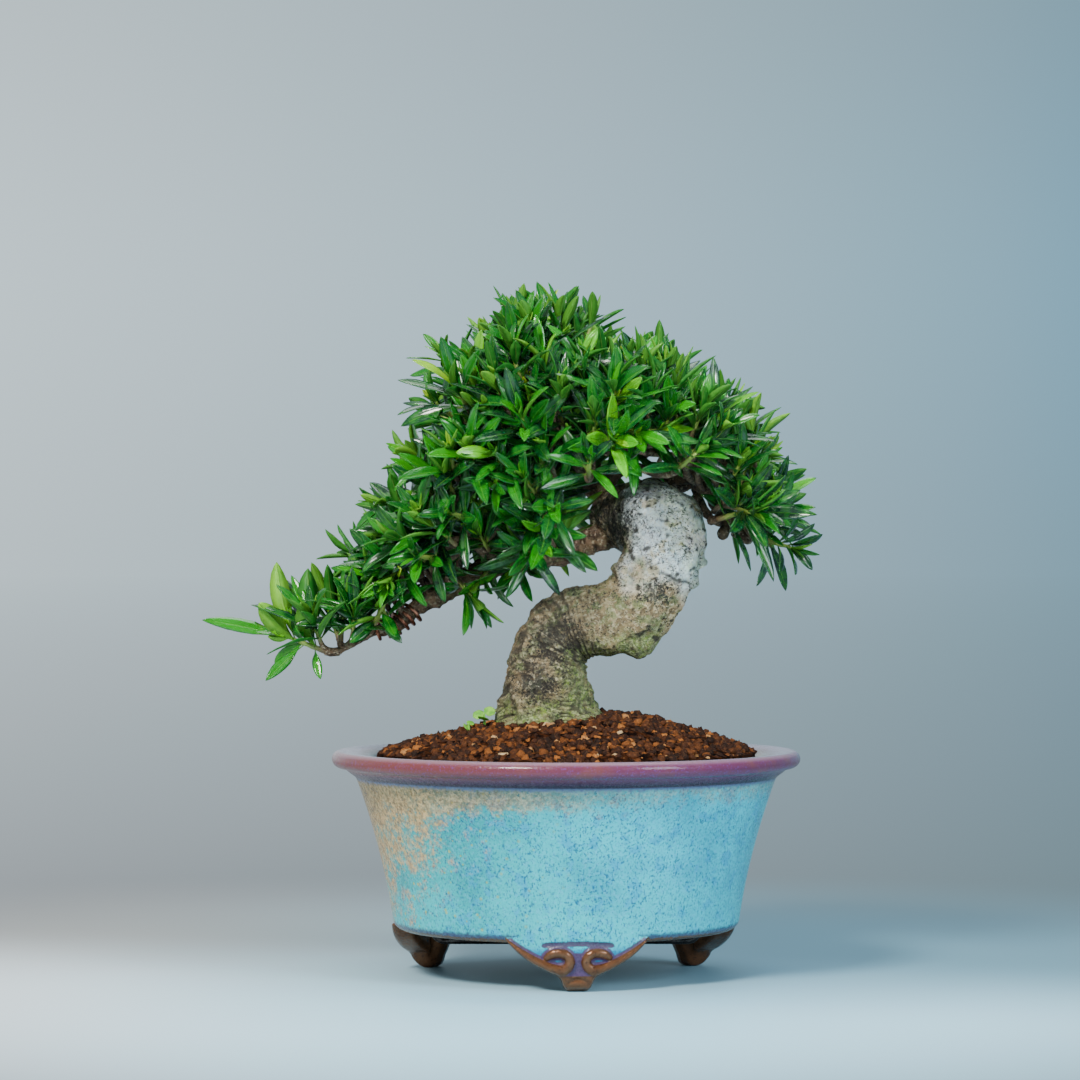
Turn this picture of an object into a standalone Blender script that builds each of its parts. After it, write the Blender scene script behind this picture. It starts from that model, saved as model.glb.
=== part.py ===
"""A gardenia bonsai in a round glazed pot, built as closed solids.

Frame: metres, +Z up, the viewer stands on the -Y side. The origin is on the surface
that the pot stands on, under the middle of the whole tree's box. Every size below is
in millimetres, and every place is measured from the pot's own upright axis.
"""
import math

import bpy
import bmesh
import numpy as np

MM = 0.001
UP = np.array((0.0, 0.0, 1.0))

# Driving sizes
POT_AXIS_X = 17.5          # the pot's axis stands right of the middle of the whole tree
CLEARANCE = 0.3            # gap between pieces that touch
SEED = 41
SOIL_SEED = 7

# Pot: a flared bowl with a rolled rim
POT_SIDES = 36
BODY_BASE_RADIUS = 55.6    # outer radius at the foot of the wall
BODY_FLARE = 0.143         # slope of the wall at the bottom
BODY_CURVE = 0.00246       # how fast the wall turns outwards
WALL = 5.0
WALL_BASE_Z = 17.0         # height where the wall's flare is measured from
UNDERSIDE_Z = 15.0
FLOOR_Z = 20.0
CORNER_RADIUS = 3.5
NECK_Z = 63.9
LIP_RADIUS = 72.8          # middle of the rolled edge
LIP_Z = 69.6
LIP_ROLL = 2.6
MOUTH_RADIUS = 61.5
MOUTH_Z = 69.0
WAIST_Z = 40.0             # a height half way down the inside, where its slope changes
POT_SHARP_DEG = 35.0       # edges of the pot sharper than this stay crisp
DRAIN_RADIUS = 9.0
WIRE_HOLE_X = 43.0
WIRE_HOLE_RADIUS = 2.3

# Cloud feet: half outlines (distance along the wall, height of the lower edge)
FOOT_FIRST_DEG = 3.5       # the front foot stands this far right of straight front
FOOT_TOP_Z = 17.6
FOOT_FLAT = 3.2            # half length of the flat that the foot stands on
FOOT_EDGE = ((24.0, 16.8), (21.6, 14.6), (18.0, 11.2), (13.5, 8.4), (9.5, 6.4),
             (6.8, 5.1), (5.3, 3.1), (4.6, 1.3), (FOOT_FLAT, 0.0))
FOOT_BEVEL = 2.0
# A foot's outer face (height, radius) and its depth (distance along the wall, depth)
FOOT_FACE = ((0.0, 50.6), (1.4, 52.4), (5.0, 54.0), (10.0, 54.8), (14.0, 55.1), (FOOT_TOP_Z, 55.3))
FOOT_DEPTH = ((0.0, 9.0), (7.0, 7.5), (23.0, 5.0))
# Raised bead on a foot: it follows the lower edge inwards and ends in a curl (along, height)
SCROLL_ROUTE = ((20.0, 14.2), (15.5, 11.0), (11.5, 8.7), (8.0, 7.2), (4.8, 7.0),
                (2.7, 8.6), (3.0, 10.9), (5.4, 12.1), (8.6, 11.2))
SCROLL_BEAD = (0.8, 1.45, 1.2)  # its radius at the start, on the curl's back and at its end

# Soil mound
SOIL_RIM_Z = 71.4
SOIL_PEAK_RIGHT = 84.2
SOIL_PEAK_LEFT = 80.0
SOIL_LEVEL = 0.30          # share of the mouth's radius where the mound starts to fall
SOIL_SIDES = 48
SOIL_RINGS = 12
GRAIN_RELIEF = 0.95

# Trunk: (x, y, z, radius)
ROOT_CROWN = ((-5.6, 0.0, 57.0, 9.5), (-5.6, 0.0, 60.0, 14.0), (-5.6, 0.0, 70.0, 17.6))
TRUNK = ((-5.6, 0.0, 79.5, 18.2), (-5.8, 0.0, 83.0, 16.4), (-6.0, 0.0, 88.0, 14.4),
         (-6.2, 0.2, 97.0, 13.5), (-4.9, 0.4, 104.5, 12.6), (-0.3, 0.2, 110.6, 12.0),
         (6.6, -0.4, 113.6, 11.7), (13.6, -1.2, 114.9, 12.0), (20.0, -2.2, 117.4, 12.3),
         (25.2, -2.8, 122.6, 12.2), (28.6, -2.4, 130.2, 12.4), (30.9, -0.8, 138.2, 13.0),
         (30.2, 4.0, 143.6, 13.8), (26.6, 11.6, 146.6, 13.2), (21.0, 19.0, 147.2, 11.6),
         (15.0, 25.0, 146.2, 8.6))
TRUNK_SIDES = 15
ROOT_HOLE_ROWS = 9         # rows of the root crown and trunk that the hole in the soil follows
NEBARI_LOBES = 5           # surface roots that ridge the trunk's foot
NEBARI_DEPTH = 0.07
BURRS = (((22.6, -3.5, 107.0), (6.2, 5.4, 4.2)), ((39.6, -4.0, 127.5), (3.6, 3.4, 4.6)),
         ((1.8, -2.0, 121.4), (4.0, 5.5, 3.2)), ((37.6, -2.0, 137.6), (4.8, 5.4, 5.0)))

# Limbs: (x, y, z, radius)
LEFT_LIMB = ((19.0, 21.5, 145.0, 5.6), (8.0, 22.0, 140.0, 4.8), (-1.9, 18.0, 136.7, 4.4),
             (-21.4, 10.0, 131.9, 4.0), (-37.5, 4.0, 124.5, 3.5), (-48.7, 0.0, 117.4, 2.7),
             (-55.1, -2.0, 112.6, 2.2), (-64.7, -4.0, 109.4, 1.6), (-73.0, -6.0, 104.2, 1.2))
LEADER = ((17.0, 22.0, 146.0, 5.0), (10.0, 22.5, 155.0, 2.9), (2.0, 16.0, 170.0, 2.4),
          (-5.0, 9.0, 184.0, 1.9), (-7.5, 5.0, 194.0, 1.4))
RIGHT_LIMB = ((23.0, 15.0, 151.0, 3.0), (30.0, 11.5, 158.6, 2.2), (41.0, 8.0, 159.6, 2.0),
              (49.0, 5.0, 152.0, 2.4), (53.6, 4.0, 143.4, 3.0))
SIDE_LIMBS = (
    ((10.0, 22.5, 155.0, 2.6), (22.0, 18.0, 167.0, 2.1), (33.0, 12.0, 174.0, 1.7), (41.0, 8.0, 181.0, 1.3)),
    ((10.0, 22.5, 156.0, 2.4), (6.0, 33.0, 163.0, 1.9), (2.0, 36.0, 171.0, 1.3)),
    ((-1.9, 18.0, 137.0, 2.6), (-10.0, 27.0, 146.0, 2.0), (-18.0, 34.0, 155.0, 1.4)),
    ((19.0, 24.0, 148.0, 2.8), (31.0, 31.0, 154.0, 2.0), (42.0, 32.0, 159.0, 1.4)),
    ((2.0, 16.0, 170.0, 2.2), (5.0, 2.0, 172.5, 1.8), (9.0, -14.0, 173.0, 1.3)),
    ((2.0, 16.0, 169.0, 2.2), (-11.0, 4.0, 168.0, 1.8), (-21.0, -9.0, 167.0, 1.5),
     (-27.0, -17.0, 168.0, 1.2)),
    ((-1.0, 13.0, 176.0, 2.0), (-16.0, 9.0, 183.0, 1.6), (-29.0, 6.0, 188.0, 1.2)),
    ((-21.4, 10.0, 132.5, 2.4), (-33.0, 6.0, 146.0, 1.9), (-43.0, 2.0, 157.0, 1.3)),
    ((-21.4, 10.0, 131.9, 2.2), (-27.0, -5.0, 137.0, 1.8), (-33.0, -18.0, 141.0, 1.3)),
    ((-1.9, 18.0, 136.9, 2.2), (-5.0, 3.0, 139.5, 1.7), (-5.0, -12.0, 142.0, 1.2)),
    ((-37.5, 4.0, 125.0, 2.0), (-47.0, 4.0, 133.0, 1.5), (-54.0, 3.0, 140.0, 1.1)),
    ((53.6, 4.0, 143.4, 2.4), (61.0, 3.0, 149.0, 1.9), (66.0, 2.0, 156.0, 1.3)),
)
STUBS = (((-24.0, 9.0, 131.0), (-27.0, 2.0, 136.0), 1.7), ((-37.0, 3.6, 124.0), (-38.0, -2.0, 128.5), 1.5),
         ((-11.0, 14.0, 134.6), (-11.0, 8.0, 129.0), 1.7), ((8.0, 20.0, 158.0), (12.5, 12.0, 163.0), 1.5),
         ((53.0, 4.0, 146.0), (50.0, -1.0, 141.0), 1.9), ((55.0, 4.0, 143.0), (59.5, 0.0, 139.5), 1.8))
LIMB_STEPS = 4             # points to a stretch where twigs look for their limb
WOOD_SHARP_DEG = 50.0
TWIG_START = 1.45          # radius of a twig at its limb and at its shoot
TWIG_END = 1.2
TWIG_LEAST = 2.0           # no twig starts nearer to its shoot than this

# Shoots by rows of the crown: height, left, right, front, back, count, upward share
CROWN_ROWS = ((197.0, -15.0, 3.0, -6.0, 14.0, 3, 0.93),
              (188.0, -31.0, 19.0, -16.0, 25.0, 7, 0.78),
              (175.5, -38.0, 44.0, -27.0, 35.0, 9, 0.58),
              (161.0, -41.0, 53.0, -31.0, 42.0, 10, 0.40),
              (147.5, -50.0, 58.0, -28.0, 42.0, 11, 0.22))
ROW_JITTER = 2.2
TRUNK_WINDOW = (4.0, 48.0)  # no shoot hangs before the trunk between these x, in the lowest row
LOW_SHOOTS = (((-40.0, -14.0, 134.0), (-0.55, -0.75, 0.05)), ((-12.0, -15.0, 137.0), (0.05, -0.95, -0.12)),
              ((-58.0, 6.0, 131.0), (-0.85, 0.2, 0.35)), ((-30.0, 22.0, 138.0), (-0.3, 0.9, 0.1)),
              ((62.5, -3.0, 140.5), (0.72, -0.5, -0.22)), ((-53.0, -5.0, 129.0), (-0.62, -0.55, 0.56)))
# Far left spray: base of each shoot, its direction, and its leaves one by one (whorl, tip, width)
TIP_SHOOTS = (
    ((-77.5, -6.8, 104.4), (-0.93, -0.10, 0.36),
     ((2, (-116.6, -11.0, 114.4), 4.6), (2, (-98.0, -17.0, 120.0), 6.8), (2, (-93.0, -5.0, 133.0), 6.4),
      (1, (-91.0, 4.0, 119.5), 4.4), (1, (-96.0, -14.0, 95.0), 3.6), (1, (-94.0, -2.0, 100.5), 3.4),
      (0, (-84.5, -17.0, 120.5), 6.4), (0, (-83.0, -4.0, 131.0), 7.2), (0, (-78.5, -12.0, 95.5), 2.8))),
    ((-72.5, -4.6, 107.2), (0.06, 0.30, 0.95),
     ((2, (-72.4, -1.0, 135.5), 4.2), (2, (-67.6, -8.0, 129.0), 5.0), (2, (-76.5, 8.0, 127.0), 4.4),
      (1, (-78.0, 12.0, 119.0), 4.0), (1, (-64.5, 7.0, 122.0), 4.4), (0, (-74.5, -14.5, 115.0), 3.4))),
    ((-62.0, -8.8, 112.0), (0.40, -0.48, 0.78),
     ((0, (-74.4, -14.0, 118.5), 4.6), (1, (-69.6, -9.0, 122.5), 3.8), (0, (-69.0, -17.0, 107.2), 4.2),
      (2, (-51.0, -15.0, 127.0), 4.6), (2, (-61.5, -22.0, 125.5), 3.2), (1, (-54.0, -23.0, 109.0), 3.6),
      (0, (-52.5, -12.0, 107.0), 3.2))),
)
SPRAY_CORNER = (-60.0, 116.0)   # shoots left of this x and below this z belong to the spray
BARE_POINTS = (18, 29)     # no twig grows between these points of the left limb, under the coil

# Leaves
LEAF_LENGTH = (14.5, 20.5)
LEAF_WIDTH = (3.7, 4.6)
LEAF_THICK = 0.8
LEAF_STATIONS = (0.40, 0.74)     # where the blade is widest, and where it starts to narrow
LEAF_SHAPE = (1.0, 0.70)         # width there, as a share of the full width
WHORLS = ((2.6, (58.0, 84.0)), (6.4, (42.0, 62.0)), (9.8, (20.0, 42.0)))
LEAF_BEND = (4.0, 22.0)
STEM_RADIUS = 1.0
STEM_BAND = 0.9            # height of the stem that one whorl of leaves grows from
STEM_TOP = 12.6
TRIES = 60
LEAF_MARGIN = 0.25
TIP_WANDER = 4.0           # how far a named tip may be moved to keep its leaf clear

# Wires
TRAINING_WIRE = 0.55       # radius
TRAINING_SPAN = (0.62, 0.85)   # share of the left limb that carries the coil
TRAINING_TURNS = 6
COIL_POINTS = 9            # to a turn
ANCHOR_WIRE = 1.15
ANCHOR_ROUTE = ((-26.0, 0.0, 66.0), (-33.0, 0.0, 66.5), (-39.5, 0.0, 63.5), (-42.6, 0.0, 57.0),
                (-43.0, 0.0, 48.0), (-43.0, 0.0, 16.0), (-42.4, 0.0, 12.4), (-40.2, 0.0, 10.8),
                (40.2, 0.0, 10.8), (42.4, 0.0, 12.4), (43.0, 0.0, 16.0), (43.0, 0.0, 48.0),
                (42.6, 0.0, 57.0), (39.5, 0.0, 63.5), (33.0, 0.0, 66.5), (14.6, 0.0, 66.0))

# Drain mesh
MESH_SIZE = 26.0
MESH_THICK = 0.8
MESH_BARS = 3              # openings each way

# Seedlings: foot on the soil, stem height, leaf radius, leaf directions in degrees
SEEDLINGS = (("seedling_large", (-26.5, -3.0), 5.2, 2.3, (20.0, 150.0, 265.0)),
             ("seedling_small", (-31.5, -5.0), 3.0, 1.6, (60.0, 235.0)))
SEEDLING_STEM = 0.5        # radius
SEEDLING_LEAF_THICK = 0.7
SEEDLING_ROOT = 2.0        # how deep its foot is sunk in the soil


# Small helpers
def unit(vector):
    return vector / np.linalg.norm(vector)


def material(name, colour, roughness, metallic=0.0):
    """A plain Principled material."""
    made = bpy.data.materials.new(name)
    made.use_nodes = True
    shader = made.node_tree.nodes["Principled BSDF"]
    shader.inputs["Base Color"].default_value = (*colour, 1.0)
    shader.inputs["Roughness"].default_value = roughness
    shader.inputs["Metallic"].default_value = metallic
    made.diffuse_color = (*colour, 1.0)
    return made


def add_object(name, points, faces, finish=None, origin=(0.0, 0.0, 0.0), smooth=None):
    """An object from points in millimetres, with its own origin."""
    mesh = bpy.data.meshes.new(name)
    places = (np.asarray(points, dtype=float) - np.asarray(origin)) * MM
    mesh.from_pydata([tuple(p) for p in places], [], [tuple(f) for f in faces])
    obj = bpy.data.objects.new(name, mesh)
    bpy.context.scene.collection.objects.link(obj)
    obj.parent = bpy.data.objects["pot_axis"]
    obj.location = [value * MM for value in origin]
    if finish is not None:
        mesh.materials.append(finish)
    if smooth is not None:
        mesh.shade_smooth()
        mesh.set_sharp_from_angle(angle=math.radians(smooth))
    return obj


def turned(outline, sides):
    """Turn a closed outline of (r, z) points about the Z axis."""
    angles = np.arange(sides) * math.tau / sides
    outline = np.asarray(outline, dtype=float)
    ring = len(outline)
    points = np.empty((sides, ring, 3))
    points[:, :, 0] = np.cos(angles)[:, None] * outline[:, 0]
    points[:, :, 1] = np.sin(angles)[:, None] * outline[:, 0]
    points[:, :, 2] = outline[:, 1]
    faces = []
    for i in range(sides):
        after = (i + 1) % sides
        for j in range(ring):
            below = (j + 1) % ring
            faces.append((i * ring + j, after * ring + j, after * ring + below, i * ring + below))
    return points.reshape(-1, 3), faces


def stacked(rings):
    """A closed skin over a stack of equal rings, with a flat cap at each end."""
    rings = np.asarray(rings, dtype=float)
    count, sides = rings.shape[:2]
    faces = [tuple(range(sides - 1, -1, -1))]
    for k in range(count - 1):
        for i in range(sides):
            j = (i + 1) % sides
            faces.append((k * sides + i, k * sides + j, (k + 1) * sides + j, (k + 1) * sides + i))
    faces.append(tuple((count - 1) * sides + i for i in range(sides)))
    return rings.reshape(-1, 3), faces


def sweep(path, radii, sides, shape=None, end_way=None):
    """A tube round a path. shape(k, angle) scales the radius of ring k, end_way squares its end."""
    path = np.asarray(path, dtype=float)
    tangents = np.gradient(path, axis=0)
    if end_way is not None:
        tangents[-1] = end_way
    side = unit(np.cross(tangents[0], (0.31, -0.9, 0.28)))
    angles = np.arange(sides) * math.tau / sides
    rings = []
    for k, (point, tangent) in enumerate(zip(path, tangents)):
        tangent = unit(tangent)
        side = unit(side - tangent * side.dot(tangent))
        other = np.cross(tangent, side)
        reach = np.full(sides, float(radii[k]))
        if shape is not None:
            reach = reach * shape(k, angles)
        rings.append(point + np.outer(np.cos(angles) * reach, side)
                     + np.outer(np.sin(angles) * reach, other))
    return stacked(rings)


def smooth_path(points, steps):
    """Points on a Catmull-Rom curve through rows of numbers, steps to each stretch."""
    rows = np.asarray(points, dtype=float)
    ends = np.vstack((2 * rows[0] - rows[1], rows, 2 * rows[-1] - rows[-2]))
    out = []
    for k in range(len(rows) - 1):
        a, b, c, d = ends[k:k + 4]
        for t in np.arange(steps) / steps:
            out.append(0.5 * (2 * b + (c - a) * t + (2 * a - 5 * b + 4 * c - d) * t ** 2
                              + (3 * b - a - 3 * c + d) * t ** 3))
    out.append(rows[-1])
    return np.array(out)


def drop_scraps(work):
    """Keep the largest piece of a mesh, without the crumbs that a cut leaves."""
    pieces, seen = [], set()
    for face in work.faces:
        if face in seen:
            continue
        piece, queue = [], [face]
        seen.add(face)
        while queue:
            here = queue.pop()
            piece.append(here)
            for edge in here.edges:
                for other in edge.link_faces:
                    if other not in seen:
                        seen.add(other)
                        queue.append(other)
        pieces.append(piece)
    for piece in sorted(pieces, key=len)[:-1]:
        bmesh.ops.delete(work, geom=piece, context="FACES")


def joined(base, parts, operation="UNION"):
    """Join or cut base with all parts in one Boolean, which is applied."""
    group = bpy.data.collections.new(base.name + "_parts")
    for part in parts:
        group.objects.link(part)
    modifier = base.modifiers.new("join", "BOOLEAN")
    modifier.operation = operation
    modifier.operand_type = "COLLECTION"
    modifier.collection = group
    modifier.solver = "MANIFOLD"
    bpy.context.view_layer.update()
    graph = bpy.context.evaluated_depsgraph_get()
    result = bpy.data.meshes.new_from_object(base.evaluated_get(graph))
    work = bmesh.new()
    work.from_mesh(result)
    bmesh.ops.triangulate(work, faces=work.faces)
    drop_scraps(work)
    work.to_mesh(result)
    work.free()
    base.modifiers.clear()
    base.data = result
    for part in parts:
        bpy.data.objects.remove(part)
    bpy.data.collections.remove(group)
    return base


# Pot
def wall_radius(z):
    """Outer radius of the bowl at height z."""
    rise = np.asarray(z, dtype=float) - WALL_BASE_Z
    return BODY_BASE_RADIUS + BODY_FLARE * rise + BODY_CURVE * rise ** 2


def inner_radius(z):
    """Inner radius of the bowl at height z."""
    return np.minimum(wall_radius(z) - WALL, MOUTH_RADIUS)


def arc(centre, radius, start, stop, steps):
    """Points on a round stretch, from start to stop in degrees."""
    turns = np.radians(np.linspace(start, stop, steps))
    return [(centre[0] + radius * math.cos(t), centre[1] + radius * math.sin(t)) for t in turns]


def pot_outline():
    """The pot's section: under the floor, up the outside, over the rim, down the inside."""
    top = UNDERSIDE_Z + CORNER_RADIUS
    corner = (float(wall_radius(top)) - CORNER_RADIUS, top)
    outline = [(DRAIN_RADIUS, UNDERSIDE_Z)]
    outline += arc(corner, CORNER_RADIUS, -90, 0, 3)
    outline += [(float(wall_radius(z)), z) for z in (33.0, 49.0, NECK_Z)]
    outline += arc((LIP_RADIUS, LIP_Z), LIP_ROLL, -90, 90, 5)
    outline += [(MOUTH_RADIUS + 1.9, MOUTH_Z + 1.7), (MOUTH_RADIUS, MOUTH_Z)]
    outline += [(float(inner_radius(z)), z) for z in (61.0, WAIST_Z)]
    floor_edge = float(inner_radius(FLOOR_Z))
    outline += [(floor_edge, FLOOR_Z + 4.0), (floor_edge - 4.0, FLOOR_Z)]
    outline += [(DRAIN_RADIUS, FLOOR_Z)]
    return outline


def foot_face(height):
    """Radius of a foot's outer face at a height: flush with the wall, drawn in at the toe."""
    heights, radii = zip(*FOOT_FACE)
    return np.interp(height, heights, radii)


def foot_place(turn_deg, along, radius, z):
    """World point of a spot on a foot. along is measured on the pot's wall."""
    angle = math.radians(turn_deg - 90.0) + along / BODY_BASE_RADIUS
    return (radius * math.cos(angle), radius * math.sin(angle), z)


def foot_solid(turn_deg):
    """One cloud foot: a curved apron that narrows in an S to a blunt toe."""
    edge = [(-s, z) for s, z in FOOT_EDGE] + [(s, z) for s, z in reversed(FOOT_EDGE)]
    spots, depths = zip(*FOOT_DEPTH)
    rings = []
    for along, low in edge:
        depth = np.interp(abs(along), spots, depths)
        mid = 0.5 * (low + FOOT_TOP_Z)
        bevel = min(FOOT_BEVEL, 0.3 * (FOOT_TOP_Z - low))
        outer = [(foot_face(FOOT_TOP_Z), FOOT_TOP_Z), (foot_face(mid) + 0.3, mid),
                 (foot_face(low + bevel), low + bevel), (foot_face(low + bevel) - bevel, low)]
        back = foot_face(low) - depth
        inner = [(back + bevel, low), (back, low + bevel), (back, FOOT_TOP_Z)]
        rings.append([foot_place(turn_deg, along, r, z) for r, z in outer + inner])
    return stacked(rings)


def scroll_bead(turn_deg, hand):
    """The bead on one half of a foot, as a thin tube half sunk in its face."""
    points = [foot_place(turn_deg, hand * along, foot_face(z) + 0.25, z) for along, z in SCROLL_ROUTE]
    radii = np.interp(np.linspace(0, 1, len(points)), (0.0, 0.5, 1.0), SCROLL_BEAD)
    return sweep(points, radii, 3)


def make_pot():
    glaze = material("turquoise_glaze", (0.16, 0.52, 0.60), 0.22)
    pot = add_object("pot", *turned(pot_outline(), POT_SIDES), finish=glaze)
    feet = []
    for number in range(3):
        turn = FOOT_FIRST_DEG + 120.0 * number
        feet.append(add_object(f"foot_{number}", *foot_solid(turn)))
        for hand in (-1, 1):
            feet.append(add_object(f"bead_{number}_{hand}", *scroll_bead(turn, hand)))
    joined(pot, feet)
    holes = []
    for side in (-1, 1):
        path = [(side * WIRE_HOLE_X, 0.0, UNDERSIDE_Z - 3.0), (side * WIRE_HOLE_X, 0.0, FLOOR_Z + 3.0)]
        holes.append(add_object(f"wire_hole_{side}", *sweep(path, (WIRE_HOLE_RADIUS,) * 2, 12)))
    joined(pot, holes, "DIFFERENCE")
    pot.data.materials.clear()
    pot.data.materials.append(glaze)
    pot.data.shade_smooth()
    pot.data.set_sharp_from_angle(angle=math.radians(POT_SHARP_DEG))


# Soil
def soil_height(x, y):
    """Height of the mound, highest behind and right of the trunk."""
    reach = np.hypot(x, y) / MOUTH_RADIUS
    lean = 0.5 + 0.5 * np.clip((x * 0.8 + y * 0.6 + 4.0) / 30.0, -1.0, 1.0)
    peak = SOIL_PEAK_LEFT + (SOIL_PEAK_RIGHT - SOIL_PEAK_LEFT) * lean
    fall = np.clip((reach - SOIL_LEVEL) / (1.0 - SOIL_LEVEL), 0.0, 1.0)
    return peak + (SOIL_RIM_Z - peak) * (fall * (0.75 + 0.25 * fall))


def soil_solid(rng):
    """The filling: a floor, a wall that follows the bowl, and a mound of coarse grains."""
    angles = np.arange(SOIL_SIDES) * math.tau / SOIL_SIDES
    inset = CLEARANCE + MOUTH_RADIUS * (1.0 - math.cos(math.pi / POT_SIDES))
    base = FLOOR_Z + CLEARANCE
    corner = float(inner_radius(FLOOR_Z))
    rings = []
    for z, radius in ((base, corner - 4.5), (base + 4.0, corner - inset),
                      (WAIST_Z, float(inner_radius(WAIST_Z)) - inset), (MOUTH_Z, MOUTH_RADIUS - inset)):
        rings.append(np.stack((radius * np.cos(angles), radius * np.sin(angles),
                               np.full(SOIL_SIDES, z)), axis=1))
    for number, radius in enumerate(np.linspace(MOUTH_RADIUS - inset, 5.0, SOIL_RINGS + 1)):
        push = rng.uniform(-1.0, 1.0, (3, SOIL_SIDES)) * GRAIN_RELIEF
        if number == 0:
            push = push * 0.3
            push[0:2] = 0.0    # the outermost grains keep their gap to the pot
        turn = angles + push[0] / max(radius, 20.0)
        reach = radius + push[1]
        x, y = reach * np.cos(turn), reach * np.sin(turn)
        rings.append(np.stack((x, y, soil_height(x, y) + 1.3 * push[2]), axis=1))
    return stacked(rings)


# Wood
def nebari(k, angles):
    """Surface roots: lobes round the foot, gone a little way up."""
    crown = len(ROOT_CROWN)
    fade = np.interp(k, (0, crown, crown + 1, crown + 4), (0.0, 0.6, 1.0, 0.0))
    return 1.0 + NEBARI_DEPTH * fade * np.cos(NEBARI_LOBES * angles + 0.6)


def limb_tube(name, rows, sides, steps=1):
    rows = smooth_path(rows, steps)
    return add_object(name, *sweep(rows[:, :3], rows[:, 3], sides))


def burr(name, centre, size):
    """A rounded swelling on the trunk."""
    work = bmesh.new()
    bmesh.ops.create_icosphere(work, subdivisions=2, radius=1.0)
    points = [np.asarray(v.co) * np.asarray(size) + np.asarray(centre) for v in work.verts]
    faces = [tuple(v.index for v in f.verts) for f in work.faces]
    work.free()
    return add_object(name, points, faces)


def attach_point(limbs, base, direction):
    """The spot on the limbs that a twig to base grows from most naturally."""
    best = None
    for rows in limbs:
        for row in rows:
            reach = base - row[:3]
            far = np.linalg.norm(reach)
            cost = far * (1.6 - 0.6 * reach.dot(direction) / far)
            if far > TWIG_LEAST and (best is None or cost < best[0]):
                best = (cost, row)
    return best[1]


def twig_rows(limbs, base, direction):
    """A twig from its limb to the foot of a shoot: a bent line that ends along the shoot."""
    start = attach_point(limbs, base, direction)
    end = base - direction * CLEARANCE
    pull = end - direction * 0.45 * np.linalg.norm(end - start[:3])
    rows = []
    for t in (0.0, 0.55, 1.0):
        point = start[:3] * (1 - t) ** 2 + 2 * pull * t * (1 - t) + end * t ** 2
        rows.append((*point, TWIG_START + (TWIG_END - TWIG_START) * t))
    return np.array(rows)


# Places of the shoots
def shoot_places(rng):
    """Base point, direction and any named leaves of every shoot, row by row down the crown."""
    places = []
    for number, (z, left, right, front, back, count, rise) in enumerate(CROWN_ROWS):
        middle = np.array(((left + right) / 2, (front + back) / 2))
        half = np.array(((right - left) / 2, (back - front) / 2))
        for k in range(count):
            turn = math.tau * (k + 0.5 * (number % 2) + 0.12 * rng.uniform(-1, 1)) / count
            flat = np.array((math.cos(turn), math.sin(turn)))
            jitter = rng.uniform(-ROW_JITTER, ROW_JITTER, 3)
            spot = np.array((*(middle + half * flat), z)) + jitter
            outward = unit(flat / half)
            direction = unit(np.array((*(outward * math.sqrt(1 - rise ** 2)), rise)))
            lowest = number == len(CROWN_ROWS) - 1
            if lowest and TRUNK_WINDOW[0] < spot[0] < TRUNK_WINDOW[1] and spot[1] < 10.0:
                continue
            places.append((spot, direction, ()))
    for spot, direction in LOW_SHOOTS:
        places.append((np.array(spot), unit(np.array(direction)), ()))
    for spot, direction, named in TIP_SHOOTS:
        places.append((np.array(spot), unit(np.array(direction)), named))
    return places


# Clear space between blades and wood
def closest(p1, q1, p2, q2):
    """Shortest vector between each segment p1-q1 and each segment p2-q2."""
    d1, d2 = (q1 - p1)[:, None], (q2 - p2)[None]
    r = p1[:, None] - p2[None]
    a, e = (d1 * d1).sum(-1), (d2 * d2).sum(-1)
    b, c, f = (d1 * d2).sum(-1), (d1 * r).sum(-1), (d2 * r).sum(-1)
    s = np.clip((b * f - c * e) / np.maximum(a * e - b * b, 1e-9), 0, 1)
    t = np.clip((b * s + f) / np.maximum(e, 1e-9), 0, 1)
    s = np.clip((b * t - c) / np.maximum(a, 1e-9), 0, 1)
    return (r + s[..., None] * d1 - t[..., None] * d2)


class Space:
    """Flat strips and round rods that a new blade must stay clear of."""

    def __init__(self):
        self.rows = []
        self.table = None

    def add(self, start, end, side, normal, half_width, half_thick, radius, owner):
        self.rows.append((*start, *end, *side, *normal, half_width, half_thick, radius, owner))
        self.table = None

    def add_rods(self, rows, owner=-1):
        for a, b in zip(rows[:-1], rows[1:]):
            self.add(a[:3], b[:3], UP, UP, 0.0, 0.0, max(a[3], b[3]), owner)

    def add_blade(self, blade, owner):
        for strip in blade["strips"]:
            self.add(*strip, 0.0, owner)

    def is_clear(self, strips, own_far, owner):
        """True if no strip comes within the margin. Own strips count past own_far only."""
        if self.table is None:
            self.table = np.array(self.rows)
        rows = self.table
        new = np.array([(*s[0], *s[1], *s[2], *s[3], s[4], s[5]) for s in strips])
        gap = closest(new[:, 0:3], new[:, 3:6], rows[:, 0:3], rows[:, 3:6])
        far = np.linalg.norm(gap, axis=-1)
        way = gap / np.maximum(far, 1e-6)[..., None]
        need = (rows[:, 14]
                + rows[:, 12] * np.abs((way * rows[None, :, 6:9]).sum(-1))
                + rows[:, 13] * np.abs((way * rows[None, :, 9:12]).sum(-1))
                + new[:, 12, None] * np.abs((way * new[:, None, 6:9]).sum(-1))
                + new[:, 13, None] * np.abs((way * new[:, None, 9:12]).sum(-1)) + LEAF_MARGIN)
        clash = far < need
        own = rows[:, 15] == owner
        clash[:own_far, own] = False
        return not clash.any()


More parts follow.
